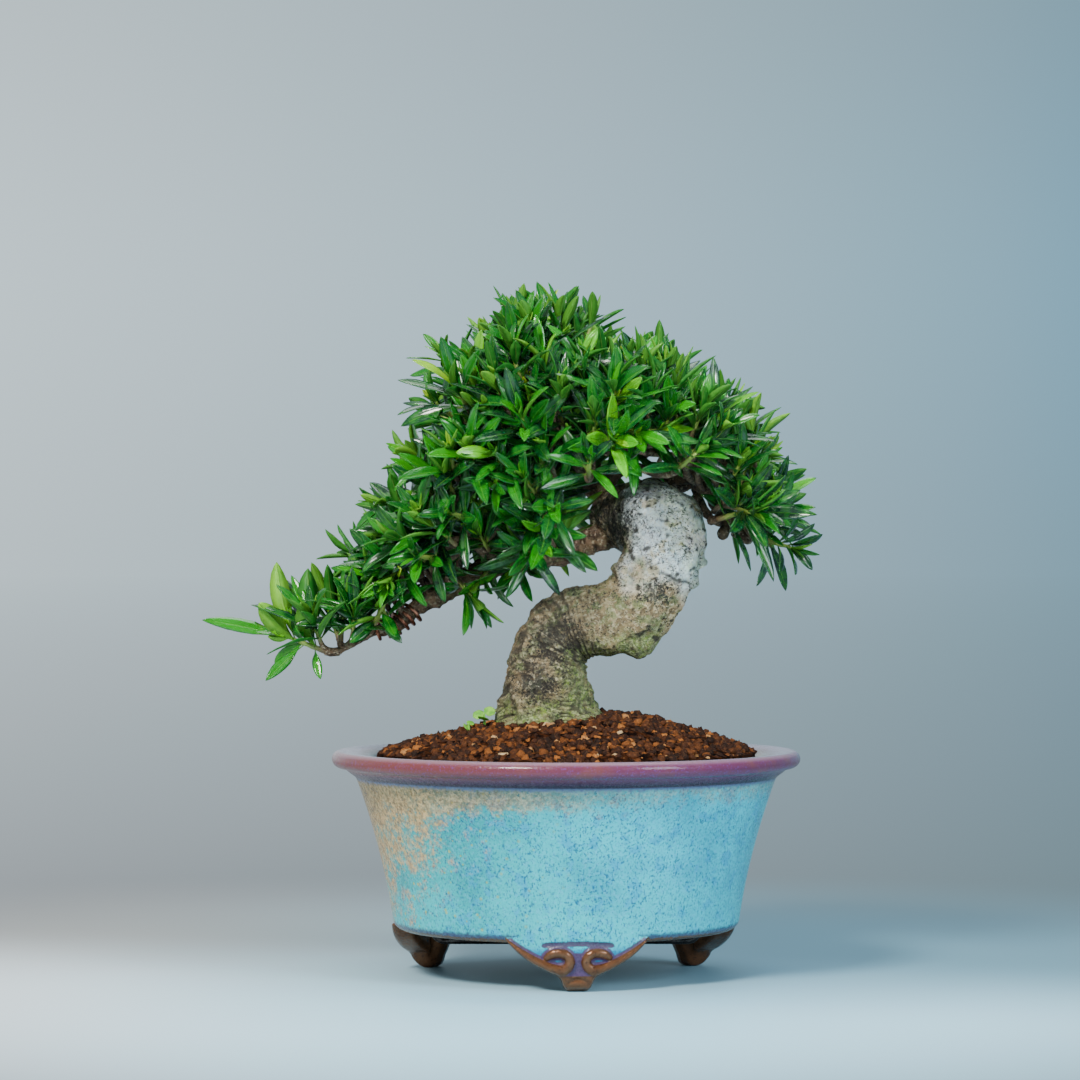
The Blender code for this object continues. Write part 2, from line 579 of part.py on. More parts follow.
# Leaves and shoots
def blade(root, out, axis, pitch, bend, length, width, roll):
    """A leaf's middle line, its side and face directions, and its test strips.

    The line leaves the stem at pitch degrees from its axis and bends outwards.
    """
    side = np.cross(axis, out)
    points, sides, normals = [np.asarray(root, dtype=float)], [], []
    marks = (0.0, *LEAF_STATIONS, 1.0)
    for k in range(3):
        angle = math.radians(pitch + bend * 0.5 * (marks[k] + marks[k + 1]))
        way = math.cos(angle) * axis + math.sin(angle) * out
        points.append(points[-1] + way * length * (marks[k + 1] - marks[k]))
        normal = np.cross(way, side)
        c, s = math.cos(math.radians(roll)), math.sin(math.radians(roll))
        sides.append(side * c + normal * s)
        normals.append(normal * c - side * s)
    half = 0.5 * width
    thick = 0.5 * LEAF_THICK
    mid = 0.5 * (points[0] + points[1])
    strips = [(points[0], mid, sides[0], normals[0], 0.5 * (half + STEM_RADIUS), thick),
              (mid, points[1], sides[0], normals[0], half, thick),
              (points[1], points[2], sides[1], normals[1], half, thick),
              (points[2], points[3], sides[2], normals[2], half * LEAF_SHAPE[1], thick)]
    return {"points": points, "sides": sides, "normals": normals, "half": half, "strips": strips}


def aimed(root, axis, tip, bend):
    """Way out, pitch and length of a blade that bends by so many degrees and ends at a tip."""
    reach = tip - root
    along = reach.dot(axis)
    across = reach - axis * along
    turn = math.radians(bend) / 2
    pitch = math.degrees(math.atan2(np.linalg.norm(across), along) - turn)
    return unit(across), pitch, np.linalg.norm(reach) * turn / math.sin(turn)


def try_leaf(rng, root, axis, middle, sides, level, attempt):
    """A free leaf on one face of a stem, shorter at each attempt."""
    turn = middle + math.radians(rng.uniform(-34, 34))
    out = math.cos(turn) * sides[0] + math.sin(turn) * sides[1]
    easing = 1.0 - 0.3 * attempt / TRIES
    length = rng.uniform(*LEAF_LENGTH) * easing * (1.0 - 0.12 * level)
    width = rng.uniform(*LEAF_WIDTH) * easing
    bend = rng.uniform(*LEAF_BEND)
    pitch = rng.uniform(*WHORLS[level][1])
    return blade(root, out, axis, pitch, bend, length, width, rng.uniform(-24, 24))


def try_named(rng, root, axis, tip, width, attempt):
    """A leaf to a named tip, which wanders further at each attempt."""
    share = attempt / TRIES
    goal = np.array(tip) + rng.uniform(-1, 1, 3) * TIP_WANDER * share
    bend = rng.uniform(*LEAF_BEND)
    out, pitch, length = aimed(root, axis, goal, bend)
    return blade(root, out, axis, pitch, bend, length, width * (1.0 - 0.3 * share), rng.uniform(-24, 24))


def grow_shoot(rng, space, base, direction, named, owner):
    """Leaves of one shoot, each turned and tilted until it is clear of the rest."""
    first = unit(np.cross(direction, (0.23, 0.41, 0.88) if abs(direction[2]) < 0.8 else (1.0, 0.2, 0.1)))
    second = np.cross(direction, first)
    spin = rng.uniform(0, math.tau)
    faces = []
    for level, (height, _) in enumerate(WHORLS):
        for face in range(3):
            middle = spin + level * math.pi / 3 + face * math.tau / 3 + math.pi / 3
            out_face = math.cos(middle) * first + math.sin(middle) * second
            root = base + direction * (height + 0.5 * STEM_BAND) + out_face * 0.5 * stem_radius(height)
            faces.append((level, face, middle, out_face, root, None))
    if named:
        faces = named_faces(faces, named)
    leaves = []
    for level, face, middle, _, root, goal in faces:
        for attempt in range(TRIES):
            if goal is None:
                leaf = try_leaf(rng, root, direction, middle, (first, second), level, attempt)
            else:
                leaf = try_named(rng, root, direction, *goal, attempt)
            if space.is_clear(leaf["strips"], 2, owner):
                leaf["level"], leaf["face"] = level, face
                space.add_blade(leaf, owner)
                leaves.append(leaf)
                break
    return {"base": base, "axis": direction, "first": first, "second": second,
            "spin": spin, "leaves": leaves}


def named_faces(faces, named):
    """Give each named leaf the free face of its whorl that looks most towards its tip."""
    free, out = list(faces), []
    for level, tip, width in named:
        here = [face for face in free if face[0] == level]
        best = max(here, key=lambda face: unit(np.array(tip) - face[4]).dot(face[3]))
        free = [face for face in free if face is not best]
        out.append((*best[:5], (tip, width)))
    return out


def stem_radius(height):
    """Radius of a shoot's stem, which tapers upwards."""
    return STEM_RADIUS * (1.0 - 0.25 * height / STEM_TOP)


def shoot_mesh(shoot):
    """A three-sided stem that twists a sixth of a turn from whorl to whorl, and its leaves."""
    points, faces = [], []

    def ring(height, turn, lift=0.0):
        radius = stem_radius(height)
        start = len(points)
        for k in range(3):
            angle = turn + k * math.tau / 3
            out = math.cos(angle) * shoot["first"] + math.sin(angle) * shoot["second"]
            points.append(shoot["base"] + shoot["axis"] * (height + lift) + radius * out)
        return start

    leaves = {(leaf["level"], leaf["face"]): leaf for leaf in shoot["leaves"]}
    below = ring(0.0, shoot["spin"] - math.pi / 3)
    faces.append((below + 2, below + 1, below))
    for level, (height, _) in enumerate(WHORLS):
        turn = shoot["spin"] + level * math.pi / 3
        low = ring(height, turn)
        high = ring(height, turn, STEM_BAND)
        for k in range(3):
            j = (k + 1) % 3
            faces.append((below + k, below + j, low + k))
            faces.append((below + j, low + j, low + k))
            quad = (low + k, low + j, high + j, high + k)
            leaf = leaves.get((level, k))
            if leaf is None:
                faces.append(quad)
            else:
                add_leaf(points, faces, quad, leaf)
        below = high
    apex = len(points)
    points.append(shoot["base"] + shoot["axis"] * STEM_TOP)
    for k in range(3):
        faces.append((below + k, below + (k + 1) % 3, apex))
    return points, faces


def add_leaf(points, faces, quad, leaf):
    """Draw one blade out of a face of the stem."""
    shares = LEAF_SHAPE[:1] if leaf["level"] == len(WHORLS) - 1 else LEAF_SHAPE
    for k, share in enumerate(shares):
        centre = leaf["points"][k + 1]
        side = 0.5 * (leaf["sides"][k] + leaf["sides"][k + 1]) * leaf["half"] * share
        normal = 0.5 * (leaf["normals"][k] + leaf["normals"][k + 1]) * 0.5 * LEAF_THICK
        start = len(points)
        points.extend((centre - side - normal, centre + side - normal,
                       centre + side + normal, centre - side + normal))
        after = (start, start + 1, start + 2, start + 3)
        for a in range(4):
            b = (a + 1) % 4
            faces.append((quad[a], quad[b], after[b], after[a]))
        quad = after
    tip = len(points)
    points.append(leaf["points"][3])
    for a in range(4):
        faces.append((quad[a], quad[(a + 1) % 4], tip))


# Wires
def training_path(limb):
    """A coil round the left limb, its radius following the limb's own."""
    rows = smooth_path(limb, 8)
    marks = np.linspace(*TRAINING_SPAN, TRAINING_TURNS * COIL_POINTS + 1) * (len(rows) - 1)
    spots = np.array([np.interp(marks, np.arange(len(rows)), rows[:, c]) for c in range(4)]).T
    tangents = np.gradient(spots[:, :3], axis=0)
    out = []
    side = unit(np.cross(tangents[0], UP))
    for k, (spot, tangent) in enumerate(zip(spots, tangents)):
        tangent = unit(tangent)
        side = unit(side - tangent * side.dot(tangent))
        other = np.cross(tangent, side)
        turn = math.tau * k / COIL_POINTS
        radius = spot[3] + TRAINING_WIRE + 1.5 * CLEARANCE
        out.append(spot[:3] + radius * (math.cos(turn) * side + math.sin(turn) * other))
    return np.array(out)


def make_drain_mesh():
    """A square mesh that lies on the floor over the drainage hole."""
    count = 2 * MESH_BARS + 1
    bar = MESH_SIZE / (4 * MESH_BARS + 1)
    cell = (MESH_SIZE - bar * (MESH_BARS + 1)) / MESH_BARS
    marks = [-MESH_SIZE / 2]
    for k in range(count):
        marks.append(marks[-1] + (bar if k % 2 == 0 else cell))
    low = FLOOR_Z + CLEARANCE
    work = bmesh.new()
    grid = [[work.verts.new((x * MM, y * MM, low * MM)) for y in marks] for x in marks]
    for i in range(count):
        for j in range(count):
            if i % 2 and j % 2:
                continue
            work.faces.new((grid[i][j], grid[i + 1][j], grid[i + 1][j + 1], grid[i][j + 1]))
    made = bmesh.ops.extrude_face_region(work, geom=work.faces[:])
    lifted = [item for item in made["geom"] if isinstance(item, bmesh.types.BMVert)]
    bmesh.ops.translate(work, verts=lifted, vec=(0, 0, MESH_THICK * MM))
    bmesh.ops.recalc_face_normals(work, faces=work.faces)
    mesh = bpy.data.meshes.new("drain_mesh")
    work.to_mesh(mesh)
    work.free()
    mesh.materials.append(material("black_plastic", (0.02, 0.02, 0.02), 0.5))
    obj = bpy.data.objects.new("drain_mesh", mesh)
    bpy.context.scene.collection.objects.link(obj)
    obj.parent = bpy.data.objects["pot_axis"]


def make_seedling(name, foot, height, leaf_radius, turns):
    """A weed: a thin stem with a few round leaves at its top."""
    green = material(name + "_green", (0.18, 0.45, 0.06), 0.5)
    low = float(soil_height(*foot)) - SEEDLING_ROOT
    top = low + SEEDLING_ROOT + height
    stem = add_object(name, *sweep([(*foot, low), (*foot, top)], (SEEDLING_STEM,) * 2, 5), finish=green)
    angles = np.arange(8) * math.tau / 8
    leaves = []
    for number, turn in enumerate(turns):
        way = unit(np.array((math.cos(math.radians(turn)), math.sin(math.radians(turn)), 0.35)))
        knot = np.array((*foot, top - 0.5 - 1.1 * number))
        centre = knot + way * (leaf_radius + 0.3 * SEEDLING_STEM)
        normal = unit(np.cross(np.cross(way, UP), way))
        across = np.cross(normal, way)
        disc = centre + leaf_radius * (np.outer(np.cos(angles), way) + np.outer(np.sin(angles), across))
        rings = [disc - 0.5 * SEEDLING_LEAF_THICK * normal, disc + 0.5 * SEEDLING_LEAF_THICK * normal]
        leaves.append(add_object(f"{name}_leaf_{number}", *stacked(rings)))
    joined(stem, leaves)
    stem.data.materials.clear()
    stem.data.materials.append(green)
    hole = [(*foot, low - CLEARANCE), (*foot, top + 1.0)]
    return add_object(name + "_hole", *sweep(hole, (SEEDLING_STEM + CLEARANCE,) * 2, 8))


# Assembly
def main():
    for obj in list(bpy.data.objects):
        bpy.data.objects.remove(obj)
    axis = bpy.data.objects.new("pot_axis", None)
    axis.location = (POT_AXIS_X * MM, 0.0, 0.0)
    bpy.context.scene.collection.objects.link(axis)
    rng = np.random.default_rng(SEED)

    make_pot()
    make_drain_mesh()

    limbs = [smooth_path(rows, LIMB_STEPS) for rows in (LEFT_LIMB, LEADER, RIGHT_LIMB, *SIDE_LIMBS)]
    places = shoot_places(rng)
    free_limbs = [limbs[0][:BARE_POINTS[0]], *limbs[1:]]
    tip_limb = [limbs[0][BARE_POINTS[1]:]]
    twigs = []
    for spot, direction, _ in places:
        in_spray = spot[0] < SPRAY_CORNER[0] and spot[2] < SPRAY_CORNER[1]
        twigs.append(twig_rows(tip_limb if in_spray else free_limbs, spot, direction))

    bark = material("bark", (0.33, 0.29, 0.24), 0.75)
    crown_rows = np.vstack((ROOT_CROWN, TRUNK))
    trunk = add_object("tree_wood", *sweep(crown_rows[:, :3], crown_rows[:, 3], TRUNK_SIDES, nebari))
    parts = [limb_tube("left_limb", LEFT_LIMB, 7, 2)]
    parts.append(limb_tube("leader", LEADER, 6, 2))
    parts.append(limb_tube("right_limb", RIGHT_LIMB, 6, 2))
    parts += [limb_tube(f"limb_{k}", rows, 5) for k, rows in enumerate(SIDE_LIMBS)]
    for number, (rows, (_, direction, _)) in enumerate(zip(twigs, places)):
        parts.append(add_object(f"twig_{number}", *sweep(rows[:, :3], rows[:, 3], 3, end_way=direction)))
    for number, (start, end, radius) in enumerate(STUBS):
        parts.append(add_object(f"stub_{number}", *sweep((start, end), (radius, 0.85 * radius), 6)))
    parts += [burr(f"burr_{k}", centre, size) for k, (centre, size) in enumerate(BURRS)]
    joined(trunk, parts)
    trunk.data.materials.clear()
    trunk.data.materials.append(bark)
    trunk.data.shade_smooth()
    trunk.data.set_sharp_from_angle(angle=math.radians(WOOD_SHARP_DEG))

    space = Space()
    space.add_rods(np.array(TRUNK))
    for rows in limbs:
        space.add_rods(rows)
    for owner, rows in enumerate(twigs):
        space.add_rods(rows[:-1])
        space.add_rods(rows[-2:], owner)
    for owner, (spot, direction, _) in enumerate(places):
        top = spot + direction * STEM_TOP
        space.add_rods(np.array([(*spot, STEM_RADIUS), (*top, STEM_RADIUS)]), owner)

    copper = material("copper_wire", (0.30, 0.14, 0.08), 0.35, 0.9)
    coil = training_path(LEFT_LIMB)
    add_object("training_wire", *sweep(coil, np.full(len(coil), TRAINING_WIRE), 4), finish=copper)
    space.add_rods(np.column_stack((coil, np.full(len(coil), TRAINING_WIRE)))[::2])

    for owner, (spot, direction, named) in enumerate(places):
        shoot = grow_shoot(rng, space, spot, direction, named, owner)
        shade = rng.uniform(0.8, 1.25)
        green = material(f"leaf_green_{owner + 1:02d}", (0.03 * shade, 0.16 * shade, 0.02 * shade), 0.35)
        add_object(f"shoot_{owner + 1:02d}", *shoot_mesh(shoot), finish=green, origin=spot)

    soil_mix = material("soil", (0.16, 0.06, 0.03), 0.9)
    soil = add_object("soil", *soil_solid(np.random.default_rng(SOIL_SEED)), finish=soil_mix)
    wire_grey = material("dark_wire", (0.05, 0.04, 0.04), 0.3, 0.8)
    radii = np.full(len(ANCHOR_ROUTE), ANCHOR_WIRE)
    add_object("anchor_wire", *sweep(ANCHOR_ROUTE, radii, 6), finish=wire_grey)
    grown = crown_rows.copy()
    grown[:, 3] += 1.5 * CLEARANCE
    grown[0, 2] -= CLEARANCE
    grown = grown[:ROOT_HOLE_ROWS]
    cutters = [add_object("root_hole", *sweep(grown[:, :3], grown[:, 3], TRUNK_SIDES, nebari))]
    # A square channel, so its corners stand root 2 times as far out as its sides
    corners = np.full(len(ANCHOR_ROUTE), math.sqrt(2.0) * (ANCHOR_WIRE + CLEARANCE))
    cutters.append(add_object("wire_channel", *sweep(ANCHOR_ROUTE, corners, 4)))
    pad = 0.5 * MESH_SIZE + CLEARANCE
    levels = (FLOOR_Z - 2.0, FLOOR_Z + MESH_THICK + 2 * CLEARANCE)
    square = ((-pad, -pad), (pad, -pad), (pad, pad), (-pad, pad))
    recess = [[(x, y, z) for x, y in square] for z in levels]
    cutters.append(add_object("mesh_recess", *stacked(recess)))
    for seedling in SEEDLINGS:
        cutters.append(make_seedling(*seedling))
    joined(soil, cutters, "DIFFERENCE")
    soil.data.materials.clear()
    soil.data.materials.append(soil_mix)


main()
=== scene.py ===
"""A gardenia bonsai in a glazed pot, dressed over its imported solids.

Every shape is a function of two parameters, worked out as whole arrays in millimetres
from the pot's upright axis, and turned into metres when it is laid into its mesh.
The viewer stands on the -Y side.
"""

import math

import bpy
import numpy as np
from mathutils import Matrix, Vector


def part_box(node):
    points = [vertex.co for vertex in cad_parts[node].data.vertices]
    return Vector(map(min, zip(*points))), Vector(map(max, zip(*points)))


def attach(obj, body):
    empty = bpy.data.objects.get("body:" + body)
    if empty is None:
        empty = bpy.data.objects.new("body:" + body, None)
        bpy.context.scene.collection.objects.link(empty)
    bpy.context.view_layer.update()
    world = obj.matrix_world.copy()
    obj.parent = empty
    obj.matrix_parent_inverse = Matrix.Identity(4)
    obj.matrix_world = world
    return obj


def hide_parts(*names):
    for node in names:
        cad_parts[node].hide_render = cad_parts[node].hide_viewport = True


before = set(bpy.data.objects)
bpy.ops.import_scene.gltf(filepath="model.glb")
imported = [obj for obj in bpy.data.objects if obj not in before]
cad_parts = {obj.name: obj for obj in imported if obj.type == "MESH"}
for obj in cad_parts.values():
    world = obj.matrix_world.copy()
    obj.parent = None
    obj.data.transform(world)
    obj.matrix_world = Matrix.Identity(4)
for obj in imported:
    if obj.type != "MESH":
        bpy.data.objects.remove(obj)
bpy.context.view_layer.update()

MM = 0.001
UP = np.array((0.0, 0.0, 1.0))
POT_LOW, POT_HIGH = (np.array(corner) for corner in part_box("pot"))
AXIS = np.array((0.5 * (POT_LOW[0] + POT_HIGH[0]), 0.5 * (POT_LOW[1] + POT_HIGH[1]), 0.0))


# Laying a surface into a mesh
def lay(name, points, faces, finishes, which=None, maps=None, tints=None, smooth=True):
    """A piece from points in millimetres and whole arrays of three or four corners each."""
    mesh = bpy.data.meshes.new(name)
    mesh.vertices.add(len(points))
    mesh.vertices.foreach_set("co", (np.asarray(points) * MM + AXIS).ravel())
    faces = [np.asarray(f) for f in faces if len(f)]
    corners = np.concatenate([f.ravel() for f in faces])
    sizes = np.concatenate([np.full(len(f), f.shape[1]) for f in faces])
    mesh.loops.add(len(corners))
    mesh.loops.foreach_set("vertex_index", corners)
    mesh.polygons.add(len(sizes))
    mesh.polygons.foreach_set("loop_start", np.cumsum(sizes) - sizes)
    mesh.update(calc_edges=True)
    for finish in finishes:
        mesh.materials.append(finish)
    if which is not None:
        mesh.polygons.foreach_set("material_index", np.concatenate(which))
    if maps is not None:
        layer = mesh.uv_layers.new(name="surface")
        layer.uv.foreach_set("vector", np.asarray(maps)[corners].ravel())
    for key, values in (tints or {}).items():
        kind = "FLOAT" if np.ndim(values) == 1 else "FLOAT_COLOR"
        attribute = mesh.attributes.new(key, kind, "POINT")
        if kind == "FLOAT":
            attribute.data.foreach_set("value", np.asarray(values, dtype=np.float32))
        else:
            opaque = np.column_stack((values, np.ones(len(values))))
            attribute.data.foreach_set("color", opaque.astype(np.float32).ravel())
    if smooth:
        mesh.shade_smooth()
    mesh.validate()
    piece = bpy.data.objects.new(name, mesh)
    bpy.context.scene.collection.objects.link(piece)
    return piece


def settle(piece, slot, *nodes):
    """The piece belongs to the tree's one body and stands for its nodes. The slot is not used."""
    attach(piece, "root")
    if nodes:
        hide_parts(*nodes)


def sheet_faces(rows, columns):
    """Quads between neighbouring rows of points, joined round their columns."""
    k, j = np.meshgrid(np.arange(rows - 1), np.arange(columns), indexing="ij")
    after = (j + 1) % columns
    quads = np.stack((k * columns + j, k * columns + after, (k + 1) * columns + after,
                      (k + 1) * columns + j), axis=-1)
    return quads.reshape(-1, 4)


def tube_mesh(rings, start=0):
    """Points and faces of a tube from its rings, closed by a point at each end."""
    count, sides = rings.shape[:2]
    points = np.concatenate((rings.reshape(-1, 3), rings[0].mean(0)[None], rings[-1].mean(0)[None]))
    around = np.arange(sides)
    first, last = count * sides, count * sides + 1
    foot = np.column_stack((np.full(sides, first), (around + 1) % sides, around))
    head = np.column_stack((np.full(sides, last), around, (around + 1) % sides))
    head[:, 1:] += (count - 1) * sides
    return points, sheet_faces(count, sides) + start, np.concatenate((foot, head)) + start


def gather(parts):
    """Several tubes as one set of points, quads and triangles."""
    points, quads, threes, start = [], [], [], 0
    for rings in parts:
        some, four, three = tube_mesh(rings, start)
        points.append(some)
        quads.append(four)
        threes.append(three)
        start += len(some)
    return np.concatenate(points), np.concatenate(quads), np.concatenate(threes)


def unit(vectors):
    """Vectors over their own length."""
    return vectors / np.linalg.norm(vectors, axis=-1, keepdims=True)


def path_length(line):
    """The length of a line up to each of its points."""
    return np.concatenate(([0.0], np.cumsum(np.linalg.norm(np.diff(line, axis=0), axis=1))))


def smooth_path(points, steps):
    """Points on a Catmull-Rom curve through rows of numbers, steps to each stretch."""
    rows = np.asarray(points, dtype=float)
    ends = np.vstack((2 * rows[0] - rows[1], rows, 2 * rows[-1] - rows[-2]))
    a, b, c, d = (ends[k:len(rows) - 1 + k, None] for k in range(4))
    t = (np.arange(steps) / steps)[None, :, None]
    curve = 0.5 * (2 * b + (c - a) * t + (2 * a - 5 * b + 4 * c - d) * t ** 2
                   + (3 * b - a - 3 * c + d) * t ** 3)
    return np.vstack((curve.reshape(-1, rows.shape[1]), rows[-1:]))


def path_frames(path):
    """Tangents, and two square directions that turn along a path as little as it does."""
    tangents = unit(np.gradient(path, axis=0))
    sides = np.empty_like(path)
    side = np.cross(tangents[0], (0.31, -0.9, 0.28))
    for k, tangent in enumerate(tangents):
        side = side - tangent * side.dot(tangent)
        side = side / np.linalg.norm(side)
        sides[k] = side
    return tangents, sides, np.cross(tangents, sides)


def tube_rings(path, radii, sides):
    """Rings round a path: point + radius * (cos a * side + sin a * other)."""
    path = np.asarray(path, dtype=float)
    angles = np.arange(sides) * math.tau / sides
    _, side, other = path_frames(path)
    reach = np.broadcast_to(np.asarray(radii, dtype=float).reshape(len(path), -1), (len(path), sides))
    c, s = np.cos(angles)[None, :, None], np.sin(angles)[None, :, None]
    return path[:, None] + reach[..., None] * (c * side[:, None] + s * other[:, None])


LATTICE = 24


def lumps(points, size, seed):
    """Lattice noise from -1 to 1: random values on a cubic lattice, blended by a smooth step."""
    table = np.random.default_rng(seed).uniform(-1, 1, (LATTICE, LATTICE, LATTICE))
    spot = np.asarray(points) / size
    cell = np.floor(spot).astype(int)
    part = spot - cell
    part = part * part * (3 - 2 * part)
    total = 0.0
    for corner in np.ndindex(2, 2, 2):
        share = np.prod(np.where(corner, part, 1 - part), axis=-1)
        index = (cell + corner) % LATTICE
        total = total + share * table[index[..., 0], index[..., 1], index[..., 2]]
    return total


def ease(value, low, high):
    """A smooth step from 0 at low to 1 at high."""
    t = np.clip((np.asarray(value) - low) / (high - low), 0.0, 1.0)
    return t * t * (3 - 2 * t)


# Finishes
class Patterns:
    """Procedural patterns in a tree of shader nodes, about one place."""

    def __init__(self, tree, coordinates):
        self.tree = tree
        self.place = self.put("TexCoord", output=coordinates)

    def put(self, kind, sockets=None, output=0, **settings):
        """A new node with its sockets linked or set, as the output that is asked for."""
        node = self.tree.nodes.new("ShaderNode" + kind)
        for key, value in settings.items():
            setattr(node, key, value)
        for key, value in (sockets or {}).items():
            if isinstance(value, bpy.types.NodeSocket):
                self.tree.links.new(value, node.inputs[key])
            else:
                node.inputs[key].default_value = value
        return node.outputs[output]

    def maths(self, operation, a, b=0.0, c=0.0):
        """Arithmetic on one to three values."""
        return self.put("Math", {0: a, 1: b, 2: c}, operation=operation)

    def times(self, a, b, more=0.0):
        """a * b + more."""
        return self.maths("MULTIPLY_ADD", a, b, more)

    def plus(self, a, b):
        """a + b."""
        return self.maths("ADD", a, b)

    def minus(self, a, b):
        """a - b."""
        return self.maths("SUBTRACT", a, b)

    def sway(self, value, pattern, much):
        """The value, moved up and down by a pattern about its middle of 0.5."""
        return self.times(self.minus(pattern, 0.5), much, value)

    def mix(self, share, a, b):
        """Colour a, turned to colour b by the share."""
        a, b = ((*c, 1.0) if isinstance(c, tuple) else c for c in (a, b))
        return self.put("Mix", {0: share, 6: a, 7: b}, 2, data_type="RGBA")

    def fade(self, value, low, high, start=0.0, end=1.0):
        """A smooth step of a value from start to end."""
        return self.put("MapRange", {"Value": value, "From Min": low, "From Max": high,
                                     "To Min": start, "To Max": end}, interpolation_type="SMOOTHSTEP")

    def grain(self, size, detail=3.0, rough=0.55, place=None):
        """Soft noise with features of a size in millimetres."""
        return self.put("TexNoise", {"Vector": place or self.place, "Scale": 1.0 / (size * MM),
                                     "Detail": detail, "Roughness": rough})

    def dots(self, size):
        """Distance from the middle of random cells of a size in millimetres."""
        return self.put("TexVoronoi", {"Vector": self.place, "Scale": 1.0 / (size * MM)})

    def stretched(self, x, y, z, shift=(0.0, 0.0, 0.0)):
        """Object coordinates moved by a shift in metres and scaled."""
        moved = self.put("Mapping", {"Vector": self.place, "Location": shift})
        return self.put("Mapping", {"Vector": moved, "Scale": (x, y, z)})

    def parts(self, place=None):
        """The x, y and z of a place."""
        node = self.put("SeparateXYZ", {0: place or self.place}).node
        return node.outputs[0], node.outputs[1], node.outputs[2]

    def value(self, name, output="Fac"):
        """A piece's own attribute."""
        return self.put("Attribute", output=output, attribute_name=name)

    def surface(self):
        """Distance across from the middle of the piece's own map, and distance along it."""
        node = self.put("SeparateXYZ", {0: self.put("UVMap", uv_map="surface")}).node
        return self.maths("ABSOLUTE", self.minus(node.outputs[0], 0.5)), node.outputs[1]

    def ramp(self, value, stops):
        """A colour that runs through the stops, each a value and its colour."""
        node = self.put("ValToRGB", {"Fac": value}).node
        keys = node.color_ramp.elements
        while len(keys) < len(stops):
            keys.new(0.5)
        for key, (at, colour) in zip(keys, stops):
            key.position = at
            key.color = (*colour, 1.0)
        return node.outputs[0]

    def relief(self, height, depth):
        """Bump of a depth in millimetres."""
        return self.put("Bump", {"Height": height, "Distance": depth * MM})


class Finish(Patterns):
    """A Principled material with its patterns on Object coordinates.

    Further values are constants of the shader's sockets, with _ for each space of their names.
    """

    def __init__(self, name, roughness, **values):
        self.material = bpy.data.materials.new(name)
        self.material.use_nodes = True
        super().__init__(self.material.node_tree, "Object")
        self.shader = self.tree.nodes["Principled BSDF"]
        self.shader.inputs["Roughness"].default_value = roughness
        for key, value in values.items():
            self.shader.inputs[key.replace("_", " ")].default_value = value

    def set(self, socket, source):
        """Let a pattern drive one of the shader's sockets."""
        self.tree.links.new(source, self.shader.inputs[socket])


# Glazed pot
BODY_BASE_RADIUS, BODY_FLARE, BODY_CURVE, WALL_BASE_Z = 55.6, 0.143, 0.00246, 17.0
UNDERSIDE_Z, FLOOR_Z, CORNER, WALL = 15.0, 20.0, 3.5, 5.0
NECK_Z, LIP_RADIUS, LIP_Z, LIP_ROLL = 63.9, 72.8, 69.6, 2.6
MOUTH_RADIUS, DRAIN_RADIUS = 61.5, 9.0
POT_SIDES = 264
FOOT_FIRST_DEG, FOOT_TOP_Z, FOOT_HALF = 3.5, 25.0, 24.0
# Half of a foot's lower edge: along the wall, up
FOOT_EDGE = ((0.0, 0.0), (3.2, 0.0), (4.6, 1.3), (5.3, 3.1), (6.8, 5.1), (9.5, 6.4), (13.5, 8.4),
             (18.0, 11.2), (21.6, 14.6), (24.0, 16.8))
# The foot's outer face: height, radius; and how deep it is: along the wall, depth
FOOT_FACE = ((0.0, 51.6), (1.4, 52.6), (5.0, 54.1), (10.0, 55.0), (14.0, 55.6), (17.0, 56.0), (20.0, 56.35),
             (25.0, 56.75))
FOOT_DEPTH = ((0.0, 9.0), (7.0, 7.5), (24.0, 5.0))
# The scroll's middle line, along the wall and up, and its half width at each point
SCROLL_ROUTE = ((21.5, 15.2), (18.0, 12.6), (14.5, 10.3), (11.0, 8.5), (8.0, 7.3), (5.2, 6.9), (3.2, 7.9),
                (2.5, 9.7), (3.4, 11.5), (5.6, 12.3), (8.2, 11.9), (9.8, 10.9))
SCROLL_WIDTH = (0.8, 1.2, 1.5, 1.7, 1.8, 1.8, 1.7, 1.6, 1.55, 1.55, 1.45, 1.1)


def wall_radius(z):
    """The wall's outer radius at a height: a parabola."""
    rise = np.asarray(z, dtype=float) - WALL_BASE_Z
    return BODY_BASE_RADIUS + BODY_FLARE * rise + BODY_CURVE * rise ** 2


def arc(centre, radius, start, stop, steps):
    """Points on an arc between two angles in degrees."""
    turns = np.radians(np.linspace(start, stop, steps))
    return np.column_stack((centre[0] + radius * np.cos(turns), centre[1] + radius * np.sin(turns)))


